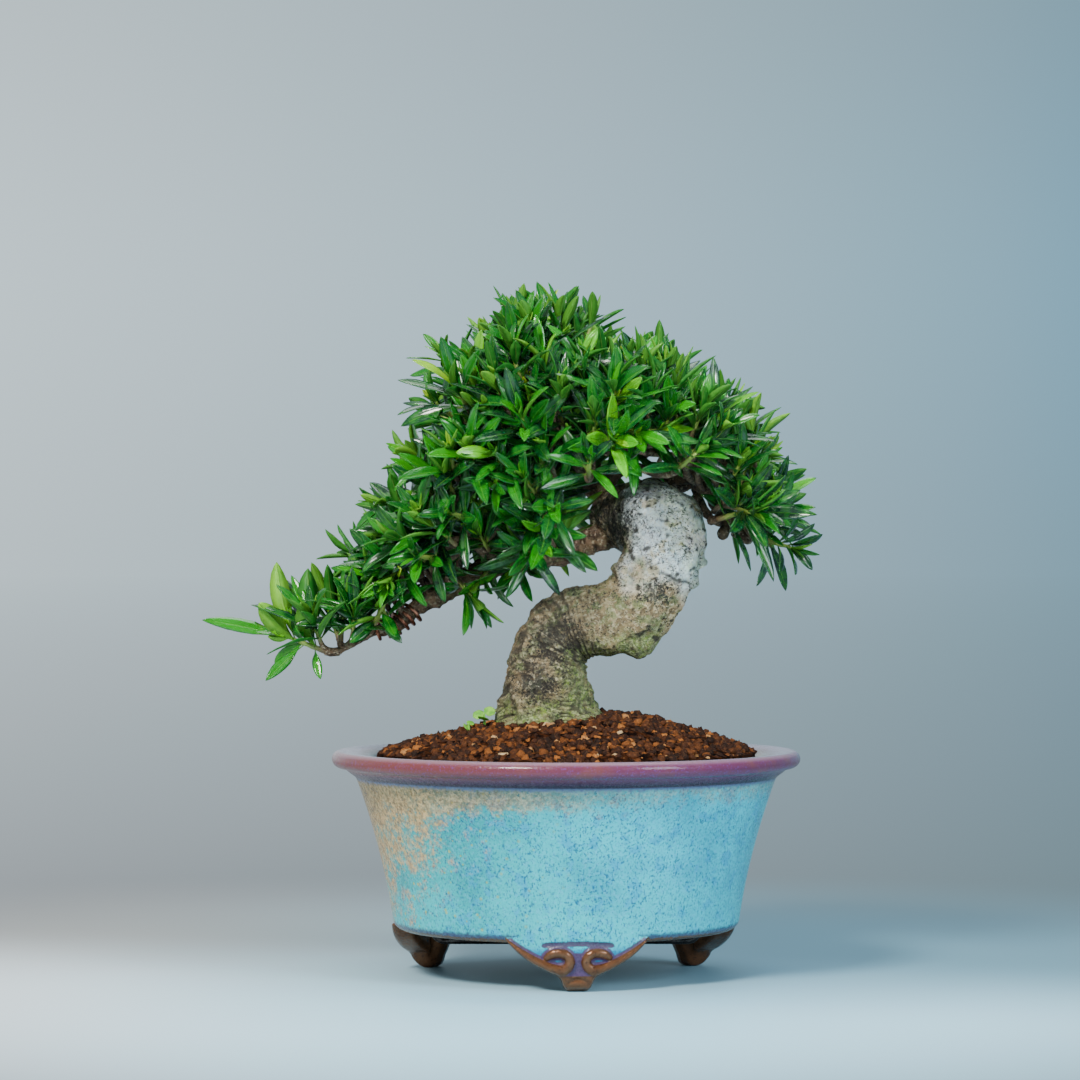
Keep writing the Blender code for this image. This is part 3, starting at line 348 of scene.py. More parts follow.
def pot_section():
    """The pot's section: the wall is a parabola, its lip and corners are arcs.

    The second result is 0 on the outside and 1 on the inside, easing over the brim.
    """
    top = UNDERSIDE_Z + CORNER
    heights = np.linspace(top, NECK_Z - 1.5, 40)
    outside = np.column_stack((wall_radius(heights), heights))
    neck = smooth_path(((float(wall_radius(NECK_Z - 1.5)), NECK_Z - 1.5), (67.9, NECK_Z),
                        (69.6, 65.2), (71.3, 66.6)), 6)[1:-1]
    lip = arc((LIP_RADIUS, LIP_Z), LIP_ROLL, -110, 85, 22)
    brim = smooth_path(((72.4, 72.2), (69.0, 71.9), (65.0, 71.2), (62.6, 70.2), (61.6, 68.6),
                        (61.4, 66.0), (60.9, 61.0)), 5)[1:]
    down = np.linspace(60.0, FLOOR_Z + 4.0, 8)
    inside = np.column_stack((np.minimum(wall_radius(down) - WALL, MOUTH_RADIUS - 0.3), down))
    floor = ((46.0, FLOOR_Z), (DRAIN_RADIUS + 0.6, FLOOR_Z), (DRAIN_RADIUS, FLOOR_Z - 0.6),
             (DRAIN_RADIUS, UNDERSIDE_Z + 0.6), (DRAIN_RADIUS + 0.6, UNDERSIDE_Z), (30.0, UNDERSIDE_Z))
    corner = arc((float(wall_radius(top)) - CORNER, top), CORNER, -90, 0, 12)[:-1]
    outer = len(corner) + len(outside) + len(neck) + len(lip)
    over = ease(brim[:, 0], 69.0, 63.0)
    within = np.concatenate((np.zeros(outer), over, np.ones(len(inside) + len(floor))))
    return np.vstack((corner, outside, neck, lip, brim, inside, floor)), within


def make_pot(finish):
    """The section turned about the axis: (r cos a, r sin a, z)."""
    section, within = pot_section()
    angles = np.arange(POT_SIDES) * math.tau / POT_SIDES
    throw = 1.0 + 0.0012 * np.sin(2 * angles + 0.7) + 0.0008 * np.sin(5 * angles)
    radius = section[:, 0] * throw[:, None]
    points = np.stack((radius * np.cos(angles)[:, None], radius * np.sin(angles)[:, None],
                       np.broadcast_to(section[:, 1], radius.shape)), axis=-1)
    ring = len(section)
    first = np.arange(ring)
    last = (POT_SIDES - 1) * ring + first
    seam = np.column_stack((last, np.roll(last, -1), np.roll(first, -1), first))
    faces = np.concatenate((sheet_faces(POT_SIDES, ring), seam))[:, ::-1]
    return lay("glazed_bowl", points.reshape(-1, 3), [faces], [finish],
               tints={"marks": np.zeros((POT_SIDES * ring, 3)), "inside": np.tile(within, POT_SIDES)})


def scroll_bead(s, z):
    """A half-round scroll on a foot's face: its height at a spot, and how far the spot lies outside.

    The height is the root of (half width squared - distance squared), largest over the route.
    """
    route = smooth_path(np.column_stack((SCROLL_ROUTE, SCROLL_WIDTH)), 8)
    a, b = route[:-1], route[1:]
    spot = np.stack((np.abs(s), z), axis=-1)[:, :, None]
    stretch = b[:, :2] - a[:, :2]
    t = np.clip(((spot - a[:, :2]) * stretch).sum(-1) / (stretch ** 2).sum(-1), 0, 1)
    far = np.linalg.norm(spot - a[:, :2] - t[..., None] * stretch, axis=-1)
    width = a[:, 2] + (b[:, 2] - a[:, 2]) * t
    bead = np.sqrt(np.clip(width ** 2 - far ** 2, 0, None)).max(-1)
    return bead, (far - width).min(-1)


def foot_sheet(turn_deg):
    """One cloud foot, wrapped on the wall.

    Its outline at a distance s along the wall is the S curve of the edge. A section runs down the
    outer face, round the edge as quarter circles, and up the back. The face rises by the scrolls and
    swells at the toe, and a bell-shaped groove and dimple are cut into it.
    The marks are bronze, the dark halo round the scrolls, and 1 for being a foot.
    """
    edge = smooth_path(FOOT_EDGE, 8)
    along = np.linspace(-FOOT_HALF, FOOT_HALF, 135)
    low = np.maximum(np.interp(np.abs(along), edge[:, 0], edge[:, 1]), 0.0)[:, None]
    spots, depths = zip(*FOOT_DEPTH)
    depth = np.interp(np.abs(along), spots, depths)[:, None]
    toe = ease(7.5 - np.abs(along), 0.0, 3.5)[:, None]
    roll = np.minimum(1.5 + 1.4 * toe, 0.42 * depth)
    roll = np.minimum(roll, 0.6 * (FOOT_TOP_Z - low) + 0.05)
    share = 1.0 - np.sin(np.linspace(0.0, 1.0, 64) * math.pi / 2)[None]
    z = low + (FOOT_TOP_Z - low) * share
    heights, radii = zip(*FOOT_FACE)
    s = np.broadcast_to(along[:, None], z.shape)
    gap = z - low
    inward = np.clip(roll - gap, 0.0, roll)
    tuck = roll - np.sqrt(np.maximum(roll ** 2 - inward ** 2, 0.0))
    bead, outside = scroll_bead(s, z)
    dimple = -1.0 * np.exp(-((s / 2.8) ** 2 + ((z - 4.0 + 0.12 * s ** 2) / 0.7) ** 2))
    groove = -0.60 * np.exp(-((z - 15.1 + 0.004 * s ** 2) / 0.75) ** 2) * ease(12.5 - np.abs(s), 0.0, 3.0)
    swell = 0.9 * ease(z, 7.0, 3.4) * toe
    outer = np.interp(z, heights, radii) + 1.05 * bead + dimple + groove + swell - tuck
    outer = outer - 0.7 * ease(np.abs(s), 15.0, 22.0) * ease(z, 15.5, 17.5)
    back = np.interp(low, heights, radii) - depth
    back_z = low + (FOOT_TOP_Z - low) * (1.0 - np.cos(np.linspace(0.0, 1.0, 12) * math.pi / 2))[None]
    inward = np.clip(roll - (back_z - low), 0.0, roll)
    inner = back + roll - np.sqrt(np.maximum(roll ** 2 - inward ** 2, 0.0))
    inner = inner + 2.6 * ease(9.0 - (back_z - low), 0.0, 7.0) * toe
    under = np.linspace(0.2, 0.8, 4)[None]
    floor_r = outer[:, -1:] + (inner[:, :1] - outer[:, -1:]) * under
    radius = np.hstack((outer, floor_r, inner))
    height = np.hstack((z, np.repeat(low, under.shape[1], axis=1), back_z))
    bronze = np.maximum(ease(outside, 0.15, -0.35), ease(z, 5.6, 4.6) * toe)
    bronze = np.maximum(bronze, ease(gap, 1.9, 0.7))
    halo = np.maximum(ease(outside, 1.5, 0.1), ease(np.abs(s), 3.6, 2.2) * ease(z, 13.2, 11.6))
    halo = np.maximum(halo, ease(groove, -0.05, -0.30))
    behind = (len(along), under.shape[1] + inner.shape[1])
    marks = np.stack((np.hstack((bronze, np.ones(behind))), np.hstack((halo, np.zeros(behind))),
                      np.ones(radius.shape)), axis=-1)
    angle = math.radians(turn_deg - 90.0) + along[:, None] / BODY_BASE_RADIUS
    points = np.stack((radius * np.cos(angle), radius * np.sin(angle), height), axis=-1)
    return points, marks


def make_feet(finish):
    """Three cloud feet, a third of a turn apart."""
    feet = [foot_sheet(FOOT_FIRST_DEG + 120.0 * number) for number in range(3)]
    points, quads, threes = gather([sheet for sheet, _ in feet])
    marks = np.concatenate([np.vstack((colours.reshape(-1, 3), np.ones((2, 3)))) for _, colours in feet])
    return lay("cloud_feet", points, [quads, threes], [finish],
               tints={"marks": marks, "inside": np.zeros(len(points))})


def turquoise(f, x, z, broad, middle, fine):
    """Turquoise, bluer and brighter to the right, with clouds and short dark blue specks.

    The second result is the share of the specks.
    """
    right = f.fade(x, -0.05, 0.045)
    still = f.mix(right, (0.0, 0.31, 0.32), (0.0, 0.42, 0.52))
    bright = f.mix(right, (0.0, 0.42, 0.41), (0.0, 0.65, 0.75))
    body = f.mix(f.fade(broad, 0.35, 0.65), still, bright)
    low = f.sway(f.fade(z, 0.046, 0.020), broad, 2.0)
    body = f.mix(f.times(f.fade(low, 0.2, 1.1), 0.6), body, (0.0, 0.54, 0.57))
    body = f.mix(f.fade(fine, 0.50, 0.64, 0.0, 0.38), body, (0.10, 0.54, 0.74))
    body = f.mix(f.fade(middle, 0.53, 0.63, 0.0, 0.6), body, (0.0, 0.32, 0.55))
    corner = f.times(f.fade(z, 0.034, 0.017), f.fade(x, 0.0, 0.05))
    body = f.mix(f.times(corner, 0.40), body, (0.0, 0.58, 0.70))
    speck = f.grain(0.55, 2.5, 0.7, f.stretched(1.0, 1.0, 0.6, (0.3, 0.1, 0.2)))
    speck = f.times(f.fade(speck, 0.53, 0.62), f.fade(f.grain(5.0, 2.0), 0.36, 0.54, 0.6, 1.0))
    body = f.mix(f.times(speck, 0.88), body, (0.0, 0.10, 0.22))
    flecks = f.times(f.fade(f.dots(3.4), 0.20, 0.12), f.fade(x, 0.02, -0.05))
    return f.mix(f.times(flecks, 0.7), body, (0.42, 0.42, 0.05)), speck


def with_cream(f, body, x, z, broad, middle, fine):
    """Cream: a patch on the left that narrows downwards, and a broken band below the lip."""
    side = f.times(f.minus(z, 0.055), 10.0, f.times(x, -16.1, -0.62))
    ragged = f.sway(f.sway(f.sway(0.0, middle, 1.5), broad, 0.8), fine, 0.9)
    patch = f.fade(f.plus(side, ragged), -0.20, 0.30)
    left = f.fade(x, 0.035, -0.055)
    reach = f.times(left, -0.0055, 0.0585)
    band = f.plus(f.minus(z, reach), f.times(ragged, 0.009))
    band = f.times(f.fade(band, -0.0015, 0.0036), f.times(left, 0.50, 0.40))
    pale = f.mix(f.fade(fine, 0.36, 0.62), (0.30, 0.14, 0.030), (0.68, 0.42, 0.16))
    ochre = f.times(f.fade(f.grain(2.2, 4.0, 0.75), 0.48, 0.60), f.fade(z, 0.036, 0.058))
    pale = f.mix(f.times(ochre, 0.75), pale, (0.19, 0.11, 0.022))
    crumbs = f.times(f.fade(f.grain(1.2, 3.0, 0.7), 0.56, 0.62), f.fade(f.grain(6.0, 2.0), 0.42, 0.56))
    pale = f.mix(f.times(crumbs, 0.85), pale, (0.060, 0.025, 0.010))
    return f.mix(f.times(f.maths("MAXIMUM", patch, band), 0.92), body, pale)


def with_lip(f, colour, x, z, radius, middle, fine):
    """A fuzzy blue-violet line; a mauve neck, darkened as painted shade under the lip; a plum lip, paled
    along its top as a painted highlight, with a lilac crest paled by a painted sky reflection; a grey mouth.
    """
    violet = f.mix(f.grain(0.9, 3.0, 0.7), (0.05, 0.025, 0.08), (0.17, 0.26, 0.42))
    colour = f.mix(f.fade(f.sway(z, fine, 0.004), 0.0624, 0.0637), colour, violet)
    # Mauve glaze of the neck and its lower line, darkened as painted shade under the lip.
    colour = f.mix(f.fade(z, 0.0634, 0.0642), colour, (0.040, 0.014, 0.032))
    neck = f.mix(fine, (0.050, 0.013, 0.034), (0.10, 0.032, 0.075))
    colour = f.mix(f.fade(z, 0.0644, 0.0652), colour, neck)
    plum = f.mix(f.fade(x, -0.06, 0.05), (0.17, 0.040, 0.040), (0.15, 0.034, 0.085))
    plum = f.mix(f.fade(f.grain(0.7, 3.0, 0.75), 0.52, 0.70, 0.0, 0.5), plum, (0.17, 0.08, 0.36))
    plum = f.mix(f.fade(f.grain(12.0), 0.52, 0.70, 0.0, 0.6), plum, (0.20, 0.060, 0.05))
    # Painted highlight: the top of the lip roll turns pale pink.
    plum = f.mix(f.fade(z, 0.0706, 0.0722, 0.0, 0.35), plum, (0.55, 0.40, 0.48))
    colour = f.mix(f.fade(z, 0.0652, 0.0668), colour, plum)
    # Lilac glaze on the crest and the flat top of the rim, paled by a painted sky reflection.
    crest = f.times(f.fade(z, 0.0712, 0.0718), f.fade(f.sway(radius, fine, 0.002), 0.0742, 0.0722))
    lilac = f.mix(f.grain(3.0), (0.22, 0.17, 0.24), (0.40, 0.35, 0.42))
    colour = f.mix(f.times(crest, 0.8), colour, lilac)
    return f.mix(f.value("inside"), colour, f.mix(middle, (0.13, 0.105, 0.10), (0.26, 0.23, 0.22)))


def with_bronze(f, colour, z, fine):
    """Blue and mauve pools on the feet, and bare bronze clay at their edges and the bottom corner.

    The second result is the share of bare clay.
    """
    marks = f.put("SeparateColor", {0: f.value("marks", "Color")}).node.outputs
    bronze, halo, foot = marks[0], marks[1], marks[2]
    clay = f.mix(f.grain(3.5, 4.0, 0.7), (0.065, 0.020, 0.009), (0.24, 0.10, 0.040))
    clay = f.mix(f.fade(f.grain(0.9, 3.0), 0.55, 0.7, 0.0, 0.7), clay, (0.030, 0.010, 0.008))
    edge = f.sway(z, fine, 0.0022)
    bowl = f.minus(1.0, foot)
    deep = f.times(foot, f.fade(edge, 0.0150, 0.0120))
    colour = f.mix(f.times(deep, 0.85), colour, (0.0, 0.17, 0.36))
    mauve = f.mix(fine, (0.050, 0.008, 0.030), (0.11, 0.045, 0.12))
    pool = f.fade(f.sway(halo, fine, 0.9), 0.25, 0.75)
    colour = f.mix(f.times(pool, 0.92), colour, mauve)
    line = f.times(f.fade(edge, 0.0184, 0.0168), bowl)
    colour = f.mix(f.times(line, 0.85), colour, (0.055, 0.018, 0.075))
    below = f.times(f.fade(edge, 0.0166, 0.0159), bowl)
    worn = f.maths("MAXIMUM", f.fade(f.sway(bronze, fine, 0.5), 0.30, 0.62), below)
    return f.mix(worn, colour, clay), worn


def glaze():
    """Turquoise glaze that breaks to cream at the left and to plum on the lip, over bronze clay."""
    f = Finish("turquoise_glaze", 0.2, Specular_IOR_Level=0.20, Coat_Weight=0.25, Coat_Roughness=0.05)
    x, y, z = f.parts(f.stretched(1.0, 1.0, 1.0, (-float(AXIS[0]), -float(AXIS[1]), 0.0)))
    radius = f.maths("SQRT", f.plus(f.times(x, x), f.times(y, y)))
    broad = f.grain(26.0, 3.0)
    middle = f.grain(5.0, 4.0, 0.65)
    fine = f.grain(1.3, 4.0, 0.75)
    colour, speck = turquoise(f, x, z, broad, middle, fine)
    colour = with_cream(f, colour, x, z, broad, middle, fine)
    colour = with_lip(f, colour, x, z, radius, middle, fine)
    colour, worn = with_bronze(f, colour, z, fine)
    f.set("Base Color", colour)
    gloss = f.times(f.fade(z, 0.0655, 0.0670), -0.10, f.fade(fine, 0.3, 0.8, 0.22, 0.38))
    f.set("Roughness", f.times(worn, -0.10, gloss))
    f.set("Metallic", f.times(worn, 0.45))
    pits = f.plus(f.times(f.grain(1.1, 3.0), 0.8), f.times(broad, 1.5))
    f.set("Normal", f.relief(f.minus(pits, f.times(speck, 0.35)), 0.20))
    return f.material


# Soil
SOIL_RIM_Z, SOIL_PEAK_RIGHT, SOIL_PEAK_LEFT, SOIL_LEVEL = 71.4, 84.2, 80.0, 0.30
# Grains: how many, least radius, how much larger the largest are, and the spiral's turn
GRANULES, GRAIN_LEAST, GRAIN_SPAN, GOLDEN_ANGLE = 4300, 0.85, 1.15, 2.399963
# No grain stands in the trunk
TRUNK_FOOT_REACH = 16.4


def soil_height(x, y):
    """Height of the mound: level in the middle, higher behind and right, falling to the rim."""
    reach = np.hypot(x, y) / MOUTH_RADIUS
    lean = 0.5 + 0.5 * np.clip((x * 0.8 + y * 0.6 + 4.0) / 30.0, -1.0, 1.0)
    peak = SOIL_PEAK_LEFT + (SOIL_PEAK_RIGHT - SOIL_PEAK_LEFT) * lean
    fall = np.clip((reach - SOIL_LEVEL) / (1.0 - SOIL_LEVEL), 0.0, 1.0)
    return peak + (SOIL_RIM_Z - peak) * (fall * (0.75 + 0.25 * fall))


def split_ball():
    """Corners and faces of a ball: an octahedron whose faces are split in four."""
    half = np.array([(1, 0, 0), (0, 1, 0), (-1, 0, 0), (0, -1, 0), (0, 0, 1), (0, 0, -1)], dtype=float)
    threes = [(0, 1, 4), (1, 2, 4), (2, 3, 4), (3, 0, 4), (1, 0, 5), (2, 1, 5), (3, 2, 5), (0, 3, 5)]
    pairs, corners, faces = {}, list(half), []
    for three in threes:
        mids = []
        for a, b in zip(three, three[1:] + three[:1]):
            key = (min(a, b), max(a, b))
            if key not in pairs:
                pairs[key] = len(corners)
                corners.append(unit(half[a] + half[b]))
            mids.append(pairs[key])
        faces += [(three[0], mids[0], mids[2]), (three[1], mids[1], mids[0]),
                  (three[2], mids[2], mids[1]), tuple(mids)]
    return np.array(corners), np.array(faces)


def make_granules(finish):
    """Fired clay grains: a ball of 32 faces with each corner pushed in or out at random.

    Their places follow a sunflower spiral, r = R sqrt(n / N) and angle = n * 137.5 degrees,
    with a random shift, so that the mound is covered evenly.
    """
    rng = np.random.default_rng(12)
    ball, faces = split_ball()
    number = np.arange(GRANULES) + 0.5
    reach = (MOUTH_RADIUS - 1.3) * np.sqrt(number / GRANULES) + rng.normal(0, 0.5, GRANULES)
    turn = number * GOLDEN_ANGLE + rng.normal(0, 0.4, GRANULES) / np.maximum(reach, 3.0)
    reach = np.minimum(reach, MOUTH_RADIUS - 1.6)
    x, y = reach * np.cos(turn), reach * np.sin(turn)
    size = GRAIN_LEAST + GRAIN_SPAN * rng.uniform(0.0, 1.0, GRANULES) ** 1.5
    lift = rng.uniform(-1.0, 0.4, GRANULES)
    z = soil_height(x, y) + lift - 0.5 * ease(reach, 55.0, 60.0)
    away = np.hypot(x - TRUNK[0][0], y) > TRUNK_FOOT_REACH
    x, y, z, size = x[away], y[away], z[away], size[away]
    count = len(x)
    push = rng.uniform(0.66, 1.20, (count, len(ball), 1))
    shape = ball[None] * push * rng.uniform(0.66, 1.18, (count, 1, 3)) * size[:, None, None]
    spin = np.linalg.qr(rng.normal(size=(count, 3, 3)))[0]
    spin[np.linalg.det(spin) < 0, :, 0] *= -1
    points = np.einsum("nij,nkj->nki", spin, shape) + np.stack((x, y, z), axis=-1)[:, None]
    all_faces = faces[None] + np.arange(count)[:, None, None] * len(ball)
    tint = np.repeat(rng.uniform(0, 1, count), len(ball))
    return lay("clay_granules", points.reshape(-1, 3), [all_faces.reshape(-1, 3)], [finish],
               tints={"tint": tint}, smooth=False)


def fired_clay():
    """Dark red-brown grains, some orange, some tan, with a dusty matt face."""
    f = Finish("fired_clay", 0.75, Specular_IOR_Level=0.2)
    stops = ((0.0, (0.010, 0.003, 0.001)), (0.38, (0.032, 0.009, 0.003)), (0.70, (0.080, 0.023, 0.005)),
             (0.89, (0.17, 0.050, 0.009)), (0.955, (0.34, 0.11, 0.020)), (0.988, (0.42, 0.20, 0.07)),
             (1.0, (0.55, 0.38, 0.20)))
    clay = f.ramp(f.value("tint"), stops)
    dust = f.mix(f.fade(f.grain(0.8, 4.0, 0.7), 0.50, 0.72, 0.0, 0.38), clay, (0.30, 0.115, 0.035))
    dark = f.mix(f.fade(f.grain(0.5, 2.0), 0.35, 0.5, 0.5, 0.0), dust, (0.015, 0.007, 0.004))
    f.set("Base Color", dark)
    f.set("Normal", f.relief(f.grain(0.35, 3.0, 0.7), 0.12))
    return f.material


def packed_clay():
    """The bed under the loose grains: dark, with grain shadows."""
    f = Finish("packed_clay", 0.95, Specular_IOR_Level=0.05)
    cells = f.dots(2.2)
    colour = f.mix(f.fade(cells, 0.2, 0.6), (0.050, 0.015, 0.005), (0.002, 0.001, 0.001))
    f.set("Base Color", f.mix(f.fade(f.grain(3.0), 0.4, 0.8), colour, (0.045, 0.014, 0.004)))
    f.set("Normal", f.relief(f.fade(cells, 0.0, 0.6, 1.0, 0.0), 0.5))
    return f.material


# Wood, in the rows of the solids: x, y, z, radius
ROOT_CROWN = ((-5.6, 0.0, 57.0, 9.5), (-5.6, 0.0, 60.0, 14.0), (-5.6, 0.0, 70.0, 17.6))
TRUNK = ((-5.6, 0.0, 79.5, 18.2), (-5.8, 0.0, 83.0, 16.4), (-6.0, 0.0, 88.0, 14.4),
         (-6.2, 0.2, 97.0, 13.5), (-4.9, 0.4, 104.5, 12.6), (-0.3, 0.2, 110.6, 12.0),
         (6.6, -0.4, 113.6, 11.7), (13.6, -1.2, 114.9, 12.0), (20.0, -2.2, 117.4, 12.3),
         (25.2, -2.8, 122.6, 12.2), (28.6, -2.4, 130.2, 12.4), (30.9, -0.8, 138.2, 13.0),
         (30.2, 4.0, 143.6, 13.8), (26.6, 11.6, 146.6, 13.2), (21.0, 19.0, 147.2, 11.6),
         (15.0, 25.0, 146.2, 8.6))
NEBARI_LOBES, NEBARI_DEPTH = 5, 0.07
# Knobs and burrs: centre, half sizes
KNOBS = (((9.5, -7.0, 82.0), (4.5, 6.0, 3.2)), ((3.0, -13.5, 81.0), (5.0, 4.0, 2.6)),
         ((-20.0, -8.0, 80.5), (4.0, 5.0, 3.0)), ((37.5, 0.5, 143.0), (3.4, 4.0, 4.5)),
         ((33.5, -5.0, 120.5), (3.0, 3.5, 3.5)), ((42.5, -1.0, 133.0), (2.6, 3.5, 2.8)),
         ((17.5, -8.0, 130.0), (3.0, 4.0, 3.0)))
BURRS = (((22.6, -3.5, 107.0), (6.2, 5.4, 4.2)), ((39.6, -4.0, 127.5), (3.6, 3.4, 4.6)),
         ((1.8, -2.0, 121.4), (4.0, 5.5, 3.2)), ((37.6, -2.0, 137.6), (4.8, 5.4, 5.0)))
LEFT_LIMB = ((19.0, 21.5, 145.0, 5.6), (8.0, 22.0, 140.0, 4.8), (-1.9, 18.0, 136.7, 4.4),
             (-21.4, 10.0, 131.9, 4.0), (-37.5, 4.0, 124.5, 3.5), (-48.7, 0.0, 117.4, 2.7),
             (-55.1, -2.0, 112.6, 2.2), (-64.7, -4.0, 109.4, 1.6), (-73.0, -6.0, 104.2, 1.2))
LEADER = ((17.0, 22.0, 146.0, 5.0), (10.0, 22.5, 155.0, 2.9), (2.0, 16.0, 170.0, 2.4),
          (-5.0, 9.0, 184.0, 1.9), (-7.5, 5.0, 194.0, 1.4))
RIGHT_LIMB = ((23.0, 15.0, 151.0, 3.0), (30.0, 11.5, 158.6, 2.2), (41.0, 8.0, 159.6, 2.0),
              (49.0, 5.0, 152.0, 2.4), (53.6, 4.0, 143.4, 3.0))
SIDE_LIMBS = (
    ((10.0, 22.5, 155.0, 2.6), (22.0, 18.0, 167.0, 2.1), (33.0, 12.0, 174.0, 1.7), (41.0, 8.0, 181.0, 1.3)),
    ((10.0, 22.5, 156.0, 2.4), (6.0, 33.0, 163.0, 1.9), (2.0, 36.0, 171.0, 1.3)),
    ((-1.9, 18.0, 137.0, 2.6), (-10.0, 27.0, 146.0, 2.0), (-18.0, 34.0, 155.0, 1.4)),
    ((19.0, 24.0, 148.0, 2.8), (31.0, 31.0, 154.0, 2.0), (42.0, 32.0, 159.0, 1.4)),
    ((2.0, 16.0, 170.0, 2.2), (5.0, 2.0, 172.5, 1.8), (9.0, -14.0, 173.0, 1.3)),
    ((2.0, 16.0, 169.0, 2.2), (-11.0, 4.0, 168.0, 1.8), (-21.0, -9.0, 167.0, 1.5),
     (-27.0, -17.0, 168.0, 1.2)),
    ((-1.0, 13.0, 176.0, 2.0), (-16.0, 9.0, 183.0, 1.6), (-29.0, 6.0, 188.0, 1.2)),
    ((-21.4, 10.0, 132.5, 2.4), (-33.0, 6.0, 146.0, 1.9), (-43.0, 2.0, 157.0, 1.3)),
    ((-21.4, 10.0, 131.9, 2.2), (-27.0, -5.0, 137.0, 1.8), (-33.0, -18.0, 141.0, 1.3)),
    ((-1.9, 18.0, 136.9, 2.2), (-5.0, 3.0, 139.5, 1.7), (-5.0, -12.0, 142.0, 1.2)),
    ((-37.5, 4.0, 125.0, 2.0), (-47.0, 4.0, 133.0, 1.5), (-54.0, 3.0, 140.0, 1.1)),
    ((53.6, 4.0, 143.4, 2.4), (61.0, 3.0, 149.0, 1.9), (66.0, 2.0, 156.0, 1.3)),
)
# Pruned stubs: foot, end, radius
STUBS = (((-24.0, 9.0, 131.0), (-27.0, 2.0, 136.0), 1.7), ((-37.0, 3.6, 124.0), (-38.0, -2.0, 128.5), 1.5),
         ((-11.0, 14.0, 134.6), (-11.0, 8.0, 129.0), 1.7), ((8.0, 20.0, 158.0), (12.5, 12.0, 163.0), 1.5),
         ((53.0, 4.0, 146.0), (50.0, -1.0, 141.0), 1.9), ((55.0, 4.0, 143.0), (59.5, 0.0, 139.5), 1.8))
TWIG_START, TWIG_END, TWIG_LEAST = 1.45, 1.2, 2.0
LIMB_STEPS = 4
TRUNK_STEPS, TRUNK_SIDES = 21, 192
# Charcoal patches of the bark, and at x 17, z 146 painted shade where the trunk turns away behind
# the knuckle: middle x, middle z, half width, half height
CHAR_AND_SHADE_PATCHES = ((-4.0, 107.0, 9.0, 7.0), (29.0, 122.5, 6.0, 3.5), (17.0, 146.0, 7.0, 9.0), (-10.0, 93.0, 8.0, 5.0))


def trunk_form():
    """The trunk without its bark: points, ways out, length along the line, and swelling.

    Parallel rings stand on the trunk's line, with its radius times 1 + depth * cos(lobes * angle)
    at the roots and a dome at the head. Each burr or knob lifts them by a bell of its own size.
    """
    rows = smooth_path(ROOT_CROWN[2:] + TRUNK, TRUNK_STEPS)
    number = 2.0 + np.arange(len(rows)) / TRUNK_STEPS
    line, radii = rows[:, :3], rows[:, 3]
    end_way = unit(line[-1] - line[-2])
    dome = np.linspace(0.0, 1.0, 12)[1:]
    line = np.vstack((line, line[-1] + end_way * (np.sin(dome * math.pi / 2) * 6.0)[:, None]))
    radii = np.concatenate((radii, radii[-1] * np.maximum(np.cos(dome * math.pi / 2), 0.03)))
    number = np.concatenate((number, np.full(len(dome), number[-1])))
    angles = np.arange(TRUNK_SIDES) * math.tau / TRUNK_SIDES
    crown = len(ROOT_CROWN)
    fade = np.interp(number, (0, crown, crown + 1, crown + 4), (0.0, 0.6, 1.0, 0.0))
    lobes = 1.0 + NEBARI_DEPTH * fade[:, None] * np.cos(NEBARI_LOBES * angles + 0.6)[None]
    ways = tube_rings(line, np.ones(len(line)), TRUNK_SIDES) - line[:, None]
    points = line[:, None] + ways * (radii[:, None] * lobes)[..., None]
    for centre, size in (*BURRS, *KNOBS):
        near = np.exp(-1.3 * (((points - centre) / size) ** 2).sum(-1))
        points = points + ways * (0.8 * np.mean(size) * near)[..., None]
    swelling = np.zeros(points.shape[:2])
    for centre, size in (*BURRS, *KNOBS):
        swelling = np.maximum(swelling, np.exp(-1.6 * (((points - centre) / size) ** 2).sum(-1)))
    along = np.broadcast_to(path_length(line)[:, None], points.shape[:2])
    return points, ways, along, swelling


def crack_lines(points, along, shift, spacing, width, seed):
    """Lines that run round the trunk: exp(-(noise / width)^2).

    The lattice noise is stretched by one spacing along the trunk and by another round it.
    """
    place = np.stack(((along + shift) / spacing[0], points[..., 0] / spacing[1],
                      (points[..., 1] + 0.3 * points[..., 2]) / spacing[1]), axis=-1)
    return np.exp(-(lumps(place, 1.0, seed) / width) ** 2)


def bark_zones(x, z, big, mid, small, swelling):
    """How pale and how mossy the bark is: smooth steps of the place, bent by the lumps."""
    # The pale zone is the knuckle's pale bark; the bark finish also brightens it as painted light.
    pale = ease(z + 0.30 * (x - 24.0) + 5.0 * big + 4.0 * mid, 121.0, 134.0)
    pale = pale * ease(x + 5.0 * mid, 14.0, 25.0) * (1.0 - 0.6 * swelling)
    foot = ease(z + 3.0 * mid + 2.0 * small, 93.0, 84.0)
    right = ease(x + 5.0 * big + 2.0 * mid, -8.0, 2.0) * ease(z, 112.0, 103.0)
    belly = ease(z + 0.2 * (30.0 - x) + 3.0 * mid, 114.5, 107.5) * ease(x, 14.0, 22.0)
    edge = ease(x + 0.5 * (z - 130.0) + 2.0 * mid, 36.0, 42.0) * ease(z, 118.0, 126.0)
    return pale, np.clip(np.maximum(foot + 0.85 * right + 0.9 * belly, 0.5 * edge), 0, 1)


